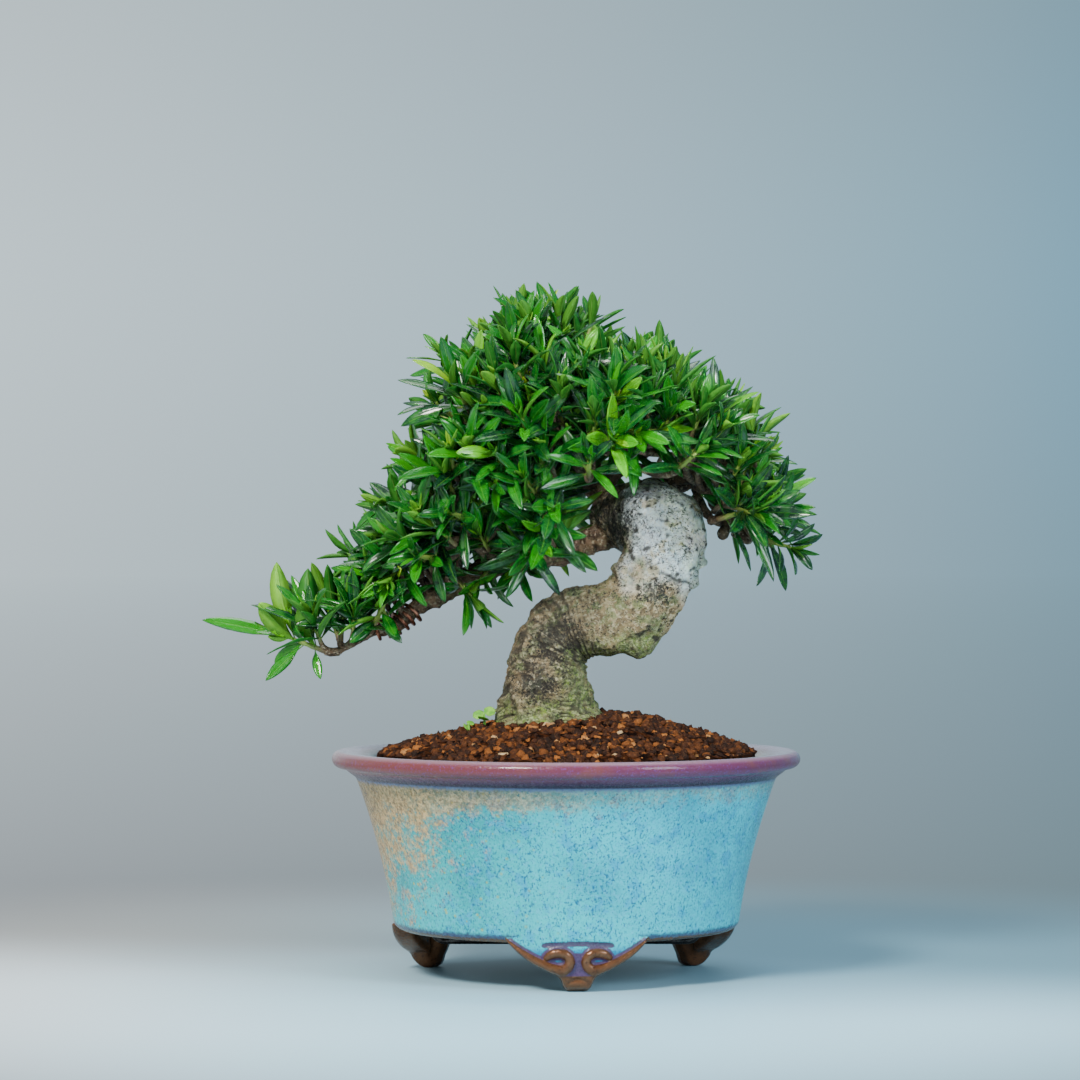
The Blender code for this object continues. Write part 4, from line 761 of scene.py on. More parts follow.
def make_trunk(finish):
    """The trunk's form, pushed out or in along its radius by its bark.

    The push is lumps of lattice noise, cracks and ridges that run round the trunk: the sine of the
    length along it, bent by noise, tall in the lower bend, and faint on the smooth knuckle. The
    tones are pale (red), moss (green) and the painted shade of cracks, folds and pits (blue).
    """
    points, ways, along, swelling = trunk_form()
    x, z = points[..., 0], points[..., 2]
    big, mid, small, grit = (lumps(points, size, seed)
                             for size, seed in ((11.0, 3), (4.6, 4), (1.9, 5), (0.9, 6)))
    patch = ease(lumps(points, 7.0, 9), -0.4, 0.3)
    plates = crack_lines(points, along, 1.4 * mid, (1.5, 5.0), 0.20, 7)
    threads = crack_lines(points, along, 0.7 * mid, (0.75, 3.0), 0.22, 8)
    rings = crack_lines(points, along, mid, (2.6, 9.0), 0.10, 10)
    flakes = lumps(np.stack((along / 1.1, points[..., 0] / 3.4, points[..., 1] / 3.4), axis=-1), 1.0, 11)
    lower = ease(z, 117.0, 107.0) * ease(x, 13.0, 4.0)
    bend = np.exp(-((along - 44.0) / 8.0) ** 2)
    knuckle = ease(along, 92.0, 108.0)
    middle = (1.0 - lower) * (1.0 - knuckle) * (1.0 - 0.7 * bend)
    fold = 1.0 - np.abs(np.sin(math.tau * (along / 3.4 + 0.22 * mid + 0.10 * big))) ** 0.5
    pits = ease(small + 0.5 * grit, 0.45, 0.80)
    scar = np.exp(-((along - 79.0 - 1.8 * mid - 0.8 * big) / 0.45) ** 2) * ease(x, 26.0, 33.0)
    roots = ease(z, 93.0, 81.0)
    push = 1.05 * big + 0.80 * mid + 0.45 * small + 0.28 * grit
    push = push - (0.50 * plates * (0.35 + 0.65 * patch) + 0.22 * threads) * (lower + 0.35 * bend)
    push = push + 0.34 * flakes * (lower + 0.25 * middle) - 0.50 * fold * bend
    push = push - 0.30 * rings * (knuckle + 0.5 * middle)
    push = push + (0.24 * small + 0.16 * grit - 0.45 * pits) * middle - 0.30 * pits * knuckle - 0.40 * scar
    push = push + roots * (0.9 * mid + 0.8 * big + 0.35 * small)
    push = push + swelling * (0.9 * mid + 0.8 * small + 0.4 * grit)
    push = push * ease(along, -2.0, 5.0)
    points = points + ways * push[..., None]
    pale, moss = bark_zones(x, z, big, mid, small, swelling)
    # Painted shade: the third tone darkens the bark where cracks, folds, pits, rings and the scar push it
    # in.
    crease_shade = plates * (lower + 0.4 * bend) * (0.3 + 0.7 * patch) + 0.4 * threads * lower + 1.1 * fold * bend
    crease_shade = np.clip(crease_shade + pits * (middle + 0.8 * knuckle) + 0.7 * rings * knuckle + scar, 0, 1)
    tone = np.stack((pale, moss, crease_shade), axis=-1)
    # Charcoal patches, and one patch of painted shade where the trunk turns away behind the knuckle.
    char_and_shade = sum(np.exp(-((x - cx) / wx) ** 2 - ((z - cz) / wz) ** 2) for cx, cz, wx, wz in CHAR_AND_SHADE_PATCHES)
    char_and_shade = np.clip(char_and_shade + 0.45 * swelling, 0, 1)
    some, quads, threes = tube_mesh(points)
    shade = np.concatenate((tone.reshape(-1, 3), tone[0, :1], tone[-1, :1]))
    char_and_shade = np.concatenate((char_and_shade.ravel(), char_and_shade[0, :1], char_and_shade[-1, :1]))
    return lay("trunk", some, [quads, threes], [finish], tints={"tone": shade, "char_and_shade": char_and_shade})


def limb_rings(rows, steps, sides, seed, knots=0.22):
    """A limb's tube whose radius swells: r * (1 + k * noise of place + a bell at each leaf node)."""
    rows = smooth_path(rows, steps)
    rings = tube_rings(rows[:, :3], rows[:, 3], sides)
    ways = unit(rings - rows[:, None, :3])
    rough = knots * lumps(rings, 3.4, seed) + 0.5 * knots * lumps(rings, 1.3, seed + 1)
    length = path_length(rows[:, :3])
    node = np.exp(-((length % 5.2 - 2.6) / 0.7) ** 2)
    return rings + ways * (rows[:, 3][:, None] * (rough + 0.14 * node[:, None]))[..., None]


def make_branches(finish):
    """All limbs and pruned stubs as rough tubes: rings round a smooth curve through their rows."""
    parts = [limb_rings(LEFT_LIMB, 14, 18, 21, 0.26), limb_rings(LEADER, 12, 14, 22),
             limb_rings(RIGHT_LIMB, 12, 14, 23, 0.3)]
    parts += [limb_rings(rows, 10, 12, 30 + k) for k, rows in enumerate(SIDE_LIMBS)]
    for number, (a, b, radius) in enumerate(STUBS):
        line = np.linspace(a, b, 9)
        radii = radius * np.array((1.15, 1.05, 1.0, 0.95, 0.95, 1.0, 1.05, 0.95, 0.6))
        parts.append(limb_rings(np.column_stack((line, radii)), 2, 12, 60 + number, 0.14))
    points, quads, threes = gather(parts)
    return lay("branches", points, [quads, threes], [finish])


def bark():
    """Tan and grey bark: charcoal patches and a patch of painted shade behind the knuckle, a pale knuckle
    lifted by painted light and dotted with black specks, moss, and creases darkened by painted shade.
    """
    f = Finish("bark", 0.8)
    tone = f.put("SeparateColor", {0: f.value("tone", "Color")}).node
    pale, moss, crease_shade = tone.outputs[0], tone.outputs[1], tone.outputs[2]
    char_and_shade = f.value("char_and_shade")
    broad, middle, fine = f.grain(9.0, 4.0, 0.6), f.grain(2.6, 5.0, 0.7), f.grain(0.8, 4.0, 0.75)
    colour = f.mix(f.fade(broad, 0.38, 0.60), (0.12, 0.078, 0.035), (0.38, 0.27, 0.13))
    colour = f.mix(f.fade(middle, 0.47, 0.62, 0.0, 0.6), colour, (0.56, 0.46, 0.27))
    colour = f.mix(f.fade(f.grain(4.0, 3.0), 0.49, 0.62, 0.0, 0.75), colour, (0.17, 0.22, 0.075))
    # Pale grey bark on the knuckle, lifted towards blue-white by painted light.
    white = f.mix(f.fade(middle, 0.34, 0.50), (0.60, 0.72, 0.76), (0.90, 1.0, 1.0))
    white = f.mix(f.fade(f.grain(5.5, 3.0), 0.55, 0.66, 0.0, 0.7), white, (0.56, 0.44, 0.19))
    colour = f.mix(f.times(pale, 0.92), colour, white)
    lichen = f.mix(f.fade(fine, 0.42, 0.58), (0.045, 0.11, 0.015), (0.55, 0.62, 0.26))
    lichen = f.mix(f.fade(f.grain(1.8, 4.0, 0.7), 0.50, 0.60), lichen, (0.22, 0.40, 0.012))
    patchy = f.times(moss, f.fade(middle, 0.36, 0.56, 0.35, 1.0))
    colour = f.mix(f.times(patchy, 0.85), colour, lichen)
    # Charcoal, and the painted shade behind the knuckle.
    charcoal_and_shade = f.plus(f.times(char_and_shade, 0.24), f.grain(1.6, 5.0, 0.8))
    charcoal_and_shade = f.times(f.fade(charcoal_and_shade, 0.60, 0.70), f.times(pale, -0.65, 1.0))
    colour = f.mix(f.times(charcoal_and_shade, 0.85), colour, (0.045, 0.047, 0.038))
    flake = f.fade(f.grain(1.3, 5.0, 0.85), 0.53, 0.58)
    flake = f.times(flake, f.times(moss, -0.2, 0.42))
    colour = f.mix(flake, colour, (0.74, 0.67, 0.47))
    soot = f.fade(f.grain(1.1, 5.0, 0.85, f.stretched(1.0, 1.0, 1.3, (0.2, 0.4, 0.1))), 0.525, 0.56)
    soot = f.times(soot, f.fade(f.times(char_and_shade, 0.25, f.grain(6.0, 3.0)), 0.43, 0.56))
    colour = f.mix(f.times(soot, 0.9), colour, (0.016, 0.015, 0.012))
    rough = f.plus(f.times(char_and_shade, 0.12), fine)
    specks = f.times(f.fade(rough, 0.56, 0.61), f.fade(f.grain(5.0, 3.0), 0.40, 0.54))
    colour = f.mix(f.times(specks, 0.92), colour, (0.014, 0.012, 0.010))
    chips = f.times(f.fade(f.dots(0.6), 0.34, 0.20), f.fade(f.grain(3.0, 3.0), 0.48, 0.58))
    colour = f.mix(f.times(chips, 0.85), colour, (0.014, 0.014, 0.012))
    # Painted shade in the creases.
    colour = f.mix(f.times(crease_shade, 0.92), colour, (0.026, 0.019, 0.011))
    f.set("Base Color", colour)
    height = f.plus(middle, f.times(fine, 0.9))
    f.set("Normal", f.relief(f.minus(height, f.times(specks, 0.7)), 1.0))
    return f.material


def twig_bark():
    """Brown, knotty bark of the younger wood, with cream leaf scars."""
    f = Finish("young_bark", 0.8)
    colour = f.mix(f.fade(f.grain(4.0, 4.0, 0.65), 0.36, 0.62), (0.050, 0.025, 0.012), (0.19, 0.115, 0.060))
    colour = f.mix(f.fade(f.grain(1.1, 4.0, 0.7), 0.52, 0.68), colour, (0.44, 0.36, 0.25))
    colour = f.mix(f.fade(f.grain(2.2, 3.0), 0.58, 0.68, 0.0, 0.6), colour, (0.12, 0.16, 0.05))
    colour = f.mix(f.fade(f.grain(0.7, 3.0), 0.60, 0.68), colour, (0.02, 0.014, 0.01))
    f.set("Base Color", colour)
    f.set("Normal", f.relief(f.grain(0.8, 4.0, 0.75), 0.5))
    return f.material


# Growth: where the solids' shoots and leaves stand
SEED = 41
# Rows of shoots round the crown: height, left, right, front, back, how many, how steeply they rise
CROWN_ROWS = ((197.0, -15.0, 3.0, -6.0, 14.0, 3, 0.93),
              (188.0, -31.0, 19.0, -16.0, 25.0, 7, 0.78),
              (175.5, -38.0, 44.0, -27.0, 35.0, 9, 0.58),
              (161.0, -41.0, 53.0, -31.0, 42.0, 10, 0.40),
              (147.5, -50.0, 58.0, -28.0, 42.0, 11, 0.22))
ROW_JITTER = 2.2
TRUNK_WINDOW = (4.0, 48.0)
# Single shoots: foot, direction
LOW_SHOOTS = (((-40.0, -14.0, 134.0), (-0.55, -0.75, 0.05)), ((-12.0, -15.0, 137.0), (0.05, -0.95, -0.12)),
              ((-58.0, 6.0, 131.0), (-0.85, 0.2, 0.35)), ((-30.0, 22.0, 138.0), (-0.3, 0.9, 0.1)),
              ((62.5, -3.0, 140.5), (0.72, -0.5, -0.22)), ((-53.0, -5.0, 129.0), (-0.62, -0.55, 0.56)))
# Shoots of the left tip: foot, direction, and named leaves as whorl, tip, width
TIP_SHOOTS = (
    ((-77.5, -6.8, 104.4), (-0.93, -0.10, 0.36),
     ((2, (-116.6, -11.0, 114.4), 4.6), (2, (-98.0, -17.0, 120.0), 6.8), (2, (-93.0, -5.0, 133.0), 6.4),
      (1, (-91.0, 4.0, 119.5), 4.4), (1, (-96.0, -14.0, 95.0), 3.6), (1, (-94.0, -2.0, 100.5), 3.4),
      (0, (-84.5, -17.0, 120.5), 6.4), (0, (-83.0, -4.0, 131.0), 7.2), (0, (-78.5, -12.0, 95.5), 2.8))),
    ((-72.5, -4.6, 107.2), (0.06, 0.30, 0.95),
     ((2, (-72.4, -1.0, 135.5), 4.2), (2, (-67.6, -8.0, 129.0), 5.0), (2, (-76.5, 8.0, 127.0), 4.4),
      (1, (-78.0, 12.0, 119.0), 4.0), (1, (-64.5, 7.0, 122.0), 4.4), (0, (-74.5, -14.5, 115.0), 3.4))),
    ((-62.0, -8.8, 112.0), (0.40, -0.48, 0.78),
     ((0, (-74.4, -14.0, 118.5), 4.6), (1, (-69.6, -9.0, 122.5), 3.8), (0, (-69.0, -17.0, 107.2), 4.2),
      (2, (-51.0, -15.0, 127.0), 4.6), (2, (-61.5, -22.0, 125.5), 3.2), (1, (-54.0, -23.0, 109.0), 3.6),
      (0, (-52.5, -12.0, 107.0), 3.2))),
)
SPRAY_CORNER = (-60.0, 116.0)
BARE_POINTS = (18, 29)
LEAF_LENGTH, LEAF_WIDTH, LEAF_THICK = (14.5, 20.5), (3.7, 4.6), 0.8
LEAF_STATIONS, LEAF_SHAPE, LEAF_BEND, LEAF_MARGIN = (0.40, 0.74), (1.0, 0.70), (4.0, 22.0), 0.25
WHORLS = ((2.6, (58.0, 84.0)), (6.4, (42.0, 62.0)), (9.8, (20.0, 42.0)))
STEM_RADIUS, STEM_BAND, STEM_TOP, TRIES, TIP_WANDER = 1.0, 0.9, 12.6, 60, 4.0
CLEARANCE = 0.3
TRAINING_WIRE, TRAINING_SPAN, TRAINING_TURNS, COIL_POINTS = 0.55, (0.62, 0.85), 6, 9


def shoot_places(rng):
    """Base, direction and any named leaves of every shoot, row by row down the crown."""
    places = []
    for number, (z, left, right, front, back, count, rise) in enumerate(CROWN_ROWS):
        middle = np.array(((left + right) / 2, (front + back) / 2))
        half = np.array(((right - left) / 2, (back - front) / 2))
        for k in range(count):
            turn = math.tau * (k + 0.5 * (number % 2) + 0.12 * rng.uniform(-1, 1)) / count
            flat = np.array((math.cos(turn), math.sin(turn)))
            jitter = rng.uniform(-ROW_JITTER, ROW_JITTER, 3)
            spot = np.array((*(middle + half * flat), z)) + jitter
            outward = unit(flat / half)
            direction = unit(np.array((*(outward * math.sqrt(1 - rise ** 2)), rise)))
            lowest = number == len(CROWN_ROWS) - 1
            if lowest and TRUNK_WINDOW[0] < spot[0] < TRUNK_WINDOW[1] and spot[1] < 10.0:
                continue
            places.append((spot, direction, ()))
    for spot, direction in LOW_SHOOTS:
        places.append((np.array(spot), unit(np.array(direction)), ()))
    for spot, direction, named in TIP_SHOOTS:
        places.append((np.array(spot), unit(np.array(direction)), named))
    return places


def attach_point(limbs, base, direction):
    """The spot on the limbs that a twig to base grows from most naturally."""
    rows = np.vstack(limbs)
    reach = base - rows[:, :3]
    far = np.linalg.norm(reach, axis=1)
    cost = far * (1.6 - 0.6 * (reach @ direction) / np.maximum(far, 1e-9))
    return rows[np.argmin(np.where(far > TWIG_LEAST, cost, np.inf))]


def twig_line(limbs, base, direction, marks):
    """A bent line from a limb to the foot of a shoot, which it meets along the shoot."""
    start = attach_point(limbs, base, direction)
    end = base - direction * CLEARANCE
    pull = end - direction * 0.45 * np.linalg.norm(end - start[:3])
    t = np.asarray(marks)[:, None]
    line = start[:3] * (1 - t) ** 2 + 2 * pull * t * (1 - t) + end * t ** 2
    return np.hstack((line, TWIG_START + (TWIG_END - TWIG_START) * t))


def closest(p1, q1, p2, q2):
    """Shortest vector between each segment p1-q1 and each segment p2-q2."""
    d1, d2 = (q1 - p1)[:, None], (q2 - p2)[None]
    r = p1[:, None] - p2[None]
    a, e = (d1 * d1).sum(-1), (d2 * d2).sum(-1)
    b, c, f = (d1 * d2).sum(-1), (d1 * r).sum(-1), (d2 * r).sum(-1)
    s = np.clip((b * f - c * e) / np.maximum(a * e - b * b, 1e-9), 0, 1)
    t = np.clip((b * s + f) / np.maximum(e, 1e-9), 0, 1)
    s = np.clip((b * t - c) / np.maximum(a, 1e-9), 0, 1)
    return r + s[..., None] * d1 - t[..., None] * d2


class Space:
    """Flat strips and round rods that a new blade must stay clear of."""

    def __init__(self):
        self.rows = []

    def add(self, start, end, side, normal, half_width, half_thick, radius, owner):
        """A strip or a rod from start to end."""
        self.rows.append((*start, *end, *side, *normal, half_width, half_thick, radius, owner))

    def add_rods(self, rows, owner=-1):
        """A rod between each two rows of place and radius."""
        for a, b in zip(rows[:-1], rows[1:]):
            self.add(a[:3], b[:3], UP, UP, 0.0, 0.0, max(a[3], b[3]), owner)

    def is_clear(self, strips, own_far, owner):
        """True if no strip comes within the margin. Own strips count past own_far only."""
        rows = np.array(self.rows)
        new = np.array([(*s[0], *s[1], *s[2], *s[3], s[4], s[5]) for s in strips])
        gap = closest(new[:, 0:3], new[:, 3:6], rows[:, 0:3], rows[:, 3:6])
        far = np.linalg.norm(gap, axis=-1)
        way = gap / np.maximum(far, 1e-6)[..., None]
        need = (rows[:, 14]
                + rows[:, 12] * np.abs((way * rows[None, :, 6:9]).sum(-1))
                + rows[:, 13] * np.abs((way * rows[None, :, 9:12]).sum(-1))
                + new[:, 12, None] * np.abs((way * new[:, None, 6:9]).sum(-1))
                + new[:, 13, None] * np.abs((way * new[:, None, 9:12]).sum(-1)) + LEAF_MARGIN)
        clash = far < need
        clash[:own_far, rows[:, 15] == owner] = False
        return not clash.any()


def blade_strips(root, out, axis, pitch, bend, length, width, roll):
    """A leaf's test strips: three straight stretches that bend outwards."""
    side = np.cross(axis, out)
    points, sides, normals = [np.asarray(root, dtype=float)], [], []
    marks = (0.0, *LEAF_STATIONS, 1.0)
    for k in range(3):
        angle = math.radians(pitch + bend * 0.5 * (marks[k] + marks[k + 1]))
        way = math.cos(angle) * axis + math.sin(angle) * out
        points.append(points[-1] + way * length * (marks[k + 1] - marks[k]))
        normal = np.cross(way, side)
        c, s = math.cos(math.radians(roll)), math.sin(math.radians(roll))
        sides.append(side * c + normal * s)
        normals.append(normal * c - side * s)
    half = 0.5 * width
    thick = 0.5 * LEAF_THICK
    mid = 0.5 * (points[0] + points[1])
    return [(points[0], mid, sides[0], normals[0], 0.5 * (half + STEM_RADIUS), thick),
            (mid, points[1], sides[0], normals[0], half, thick),
            (points[1], points[2], sides[1], normals[1], half, thick),
            (points[2], points[3], sides[2], normals[2], half * LEAF_SHAPE[1], thick)]


def stem_directions(direction):
    """Two directions square to a stem and to each other."""
    first = unit(np.cross(direction, (0.23, 0.41, 0.88) if abs(direction[2]) < 0.8 else (1.0, 0.2, 0.1)))
    return first, np.cross(direction, first)


def aimed(root, axis, tip, bend):
    """Way out, pitch and length of a blade that bends by so many degrees and ends at a tip."""
    reach = tip - root
    along = reach.dot(axis)
    across = reach - axis * along
    turn = math.radians(bend) / 2
    pitch = math.degrees(math.atan2(np.linalg.norm(across), along) - turn)
    return unit(across), pitch, np.linalg.norm(reach) * turn / math.sin(turn)


def try_leaf(rng, root, middle, sides, level, attempt):
    """A free leaf on one face of a stem, shorter at each attempt."""
    turn = middle + math.radians(rng.uniform(-34, 34))
    out = math.cos(turn) * sides[0] + math.sin(turn) * sides[1]
    easing = 1.0 - 0.3 * attempt / TRIES
    length = rng.uniform(*LEAF_LENGTH) * easing * (1.0 - 0.12 * level)
    width = rng.uniform(*LEAF_WIDTH) * easing
    bend = rng.uniform(*LEAF_BEND)
    pitch = rng.uniform(*WHORLS[level][1])
    return out, pitch, bend, length, width, rng.uniform(-24, 24)


def try_named(rng, root, axis, tip, width, attempt):
    """A leaf to a named tip, which wanders further at each attempt."""
    share = attempt / TRIES
    goal = np.array(tip) + rng.uniform(-1, 1, 3) * TIP_WANDER * share
    bend = rng.uniform(*LEAF_BEND)
    out, pitch, length = aimed(root, axis, goal, bend)
    return out, pitch, bend, length, width * (1.0 - 0.3 * share), rng.uniform(-24, 24)


def named_faces(faces, named):
    """Give each named leaf the free face of its whorl that looks most towards its tip."""
    free, out = list(faces), []
    for level, tip, width in named:
        here = [face for face in free if face[0] == level]
        best = max(here, key=lambda face: unit(np.array(tip) - face[3]).dot(face[2]))
        free = [face for face in free if face is not best]
        out.append((*best[:4], (tip, width)))
    return out


def grow_shoot(rng, space, base, direction, named, owner):
    """Leaves of one of the solids' shoots, drawn as the solids draw them."""
    first, second = stem_directions(direction)
    spin = rng.uniform(0, math.tau)
    faces = []
    for level, (height, _) in enumerate(WHORLS):
        for face in range(3):
            middle = spin + level * math.pi / 3 + face * math.tau / 3 + math.pi / 3
            out_face = math.cos(middle) * first + math.sin(middle) * second
            stem = STEM_RADIUS * (1.0 - 0.25 * height / STEM_TOP)
            root = base + direction * (height + 0.5 * STEM_BAND) + out_face * 0.5 * stem
            faces.append((level, middle, out_face, root, None))
    leaves = []
    for level, middle, _, root, goal in named_faces(faces, named) if named else faces:
        for attempt in range(TRIES):
            if goal is None:
                leaf = try_leaf(rng, root, middle, (first, second), level, attempt)
            else:
                leaf = try_named(rng, root, direction, *goal, attempt)
            out, pitch, bend, length, width, roll = leaf
            strips = blade_strips(root, out, direction, pitch, bend, length, width, roll)
            if space.is_clear(strips, 2, owner):
                for strip in strips:
                    space.add(*strip, 0.0, owner)
                leaves.append((*root, *direction, *out, pitch, bend, length, width, roll, level))
                break
    return leaves


def coil_line(points_a_turn):
    """A coil round the left limb: its radius is the limb's own plus the wire's and a gap."""
    rows = smooth_path(LEFT_LIMB, 8)
    marks = np.linspace(*TRAINING_SPAN, TRAINING_TURNS * points_a_turn + 1) * (len(rows) - 1)
    spots = np.array([np.interp(marks, np.arange(len(rows)), rows[:, c]) for c in range(4)]).T
    tangents = unit(np.gradient(spots[:, :3], axis=0))
    side = unit(np.cross(tangents[0], UP))
    out = []
    for k, (spot, tangent) in enumerate(zip(spots, tangents)):
        side = unit(side - tangent * side.dot(tangent))
        turn = math.tau * k / points_a_turn
        radius = spot[3] + TRAINING_WIRE + 1.5 * CLEARANCE
        out.append(spot[:3] + radius * (math.cos(turn) * side + math.sin(turn) * np.cross(tangent, side)))
    return np.array(out)


def grow_solids():
    """The solids' shoots again, from the same seed: places, twigs and leaf rows."""
    rng = np.random.default_rng(SEED)
    limbs = [smooth_path(rows, LIMB_STEPS) for rows in (LEFT_LIMB, LEADER, RIGHT_LIMB, *SIDE_LIMBS)]
    places = shoot_places(rng)
    free_limbs = [limbs[0][:BARE_POINTS[0]], *limbs[1:]]
    tip_limb = [limbs[0][BARE_POINTS[1]:]]
    homes = []
    for spot, _, _ in places:
        in_spray = spot[0] < SPRAY_CORNER[0] and spot[2] < SPRAY_CORNER[1]
        homes.append(tip_limb if in_spray else free_limbs)
    space = Space()
    space.add_rods(np.array(TRUNK))
    for rows in limbs:
        space.add_rods(rows)
    for owner, ((spot, direction, _), home) in enumerate(zip(places, homes)):
        rows = twig_line(home, spot, direction, (0.0, 0.55, 1.0))
        space.add_rods(rows[:-1])
        space.add_rods(rows[-2:], owner)
    for owner, (spot, direction, _) in enumerate(places):
        top = spot + direction * STEM_TOP
        space.add_rods(np.array([(*spot, STEM_RADIUS), (*top, STEM_RADIUS)]), owner)
    coil = coil_line(COIL_POINTS)
    space.add_rods(np.column_stack((coil, np.full(len(coil), TRAINING_WIRE)))[::2])
    leaves = []
    for owner, (spot, direction, named) in enumerate(places):
        leaves.append(grow_shoot(rng, space, spot, direction, named, owner))
        # The solids draw one more number here, for the shade of the shoot
        rng.uniform(0.8, 1.25)
    return places, homes, limbs, leaves


# Foliage that fills the crown between the solids' shoots
# The crown's upper and lower outline: x, z
CROWN_TOP = ((-62, 147), (-55, 172), (-50, 186), (-40.6, 200), (-32.6, 205), (-24.5, 210), (-14.8, 216),
             (-8.4, 218), (1.3, 217), (11, 209), (20.6, 204), (31.9, 200), (40, 192), (48, 186), (59.4, 181),
             (69, 169), (75.5, 160))
CROWN_BOTTOM = ((-62, 112), (-53.5, 112), (-40.6, 118), (-31, 118), (-21, 124), (0, 124), (8, 134),
                (15, 154), (44, 154), (50, 136), (56, 128), (69, 134), (75.5, 140))
# How far left a shoot's tip may reach at a height: z, x
CROWN_LEFT = ((118, -78), (140, -64), (150, -56), (160, -50), (166, -45), (178, -41), (190, -38), (200, -31),
              (206, -24), (214, -14))
# Filling shoots: the most there are, the least distance of their tips, how often a place is tried
EXTRA_SHOOTS, EXTRA_SPACING, EXTRA_TRIES = 215, 6.1, 9000
# Shoots that close the gap between the crown and the first spray: foot, direction, size
GAP_SHOOTS = (((-78.5, -8.0, 107.0), (-0.30, -0.40, 0.87), 1.15),
              ((-68.5, -9.0, 109.5), (0.10, -0.55, 0.83), 1.05),
              ((-73.5, 0.5, 108.5), (-0.30, 0.25, 0.92), 1.20),
              ((-64.0, -7.0, 112.0), (-0.45, -0.30, 0.84), 1.10),
              ((-58.0, -6.0, 114.0), (-0.2, -0.5, 0.84), 1.0))
# Small shoots that clothe the left limb: how far along it each set of them stands
LIMB_SHARES = (0.34, 0.40, 0.46, 0.52, 0.58, 0.64, 0.72, 0.80, 0.88)
# Left of and below this x, z a filling shoot grows from the left limb, on a twig this much thinner
LIMB_CORNER, EXTRA_TWIG = (-36.0, 136.0), 0.72


def crown_spot(rng):
    """A random place just inside the crown, with the way out of it.

    The crown's section at x is a rounded box between its top and bottom curves, with a depth that
    is an ellipse in x. A spot is a share of the way out from the section's middle.
    """
    x = rng.uniform(-54.0, 64.0)
    top = np.interp(x, *zip(*CROWN_TOP)) - 14.0
    bottom = np.interp(x, *zip(*CROWN_BOTTOM)) + 9.0
    depth = 37.0 * math.sqrt(max(1.0 - ((x - 3.0) / 72.0) ** 2, 0.05))
    turn = rng.uniform(0, math.tau)
    y_way, z_way = math.cos(turn), math.sin(turn)
    if y_way > 0.2 and TRUNK_WINDOW[0] < x < TRUNK_WINDOW[1]:
        bottom = min(bottom, 147.0)
    half = 0.5 * (top - bottom)
    square = (abs(y_way) ** 2.6 + abs(z_way) ** 2.6) ** (-1 / 2.6)
    reach = square * rng.uniform(0.50, 1.0)
    spot = np.array((x, 5.0 + depth * y_way * reach, 0.5 * (top + bottom) + half * z_way * reach))
    out = unit(np.array(((x - 3.0) / 55.0 * 0.7, y_way / depth * 30.0, z_way / max(half, 8.0) * 30.0)))
    return spot, out


def extra_shoots(places):
    """More shoots, each with a direction between the way out of the crown and straight up."""
    rng = np.random.default_rng(77)
    tips = [spot + direction * 7.0 for spot, direction, _ in places]
    line = np.array(TRUNK)
    extra = []
    limb = smooth_path(LEFT_LIMB, 8)
    for spot, direction, scale in GAP_SHOOTS:
        tips.append(np.array(spot) + unit(np.array(direction)) * 7.0)
        extra.append((np.array(spot), unit(np.array(direction)), scale, 0.6))
    for share in LIMB_SHARES:
        for side, rise in ((-1.0, 1.0), (1.0, 1.0), (-1.0, -0.25)):
            if rise < 0 and share > 0.50:
                continue
            foot = limb[int(share * (len(limb) - 1)), :3]
            bare = 5.5 * float(ease(share, 0.48, 0.62))
            spot = foot + (rng.uniform(-3, 3), side * rng.uniform(2.0, 7.0),
                           bare + rise * rng.uniform(1.5, 7.0))
            direction = unit(np.array((rng.uniform(-0.6, 0.3), 0.35 * side + rng.normal(0, 0.2),
                                       rise * rng.uniform(0.6, 1.2))))
            if np.linalg.norm(np.array(tips) - spot - direction * 7.0, axis=1).min() > 4.5:
                tips.append(spot + direction * 7.0)
                extra.append((spot, direction, rng.uniform(0.75, 0.95), rng.uniform(0.6, 0.8)))
    for _ in range(EXTRA_TRIES):
        spot, out = crown_spot(rng)
        direction = unit(out * rng.uniform(0.5, 1.0) + UP * rng.uniform(0.35, 1.0) + rng.normal(0, 0.16, 3))
        tip = spot + direction * 7.0
        before_trunk = 0.0 < tip[0] < 52.0 and spot[1] < 24.0 and min(spot[2], tip[2]) < 167.0
        far = spot + direction * 14.0
        outside = far[0] < np.interp(far[2], *zip(*CROWN_LEFT))
        outside = outside or far[2] > np.interp(far[0], *zip(*CROWN_TOP)) - 3.0
        outside = outside or far[2] < np.interp(far[0], *zip(*CROWN_BOTTOM)) + 14.0
        if before_trunk or outside or np.linalg.norm(np.array(tips) - tip, axis=1).min() < EXTRA_SPACING:
            continue
        if (np.linalg.norm(line[:, :3] - spot, axis=1) < line[:, 3] + 5.0).any():
            continue
        tips.append(tip)
        extra.append((spot, direction, rng.uniform(0.84, 1.18), rng.uniform(0.7, 1.0)))
        if len(extra) == EXTRA_SHOOTS:
            break
    return extra


def loose_leaves(rng, base, direction, scale, stretch):
    """Leaf rows of an extra shoot: whorls of three or four that close towards its tip."""
    first, second = stem_directions(direction)
    spin = rng.uniform(0, math.tau)
    rows = []
    for level, (height, pitches) in enumerate(WHORLS):
        count = 3 + int(rng.uniform() > 0.7)
        for k in range(count):
            turn = spin + level * 0.9 + math.tau * (k + rng.uniform(-0.25, 0.25)) / count
            out = math.cos(turn) * first + math.sin(turn) * second
            root = base + direction * (height * stretch + rng.uniform(-0.6, 0.9)) + out * 0.3
            length = scale * rng.uniform(14.5, 23.0) * (1.0 - 0.10 * level)
            width = scale * rng.uniform(3.5, 4.9)
            rows.append((*root, *direction, *out, rng.uniform(*pitches) - 16.0, rng.uniform(2.0, 34.0),
                         length, width, rng.uniform(-28, 28), level))
    return rows


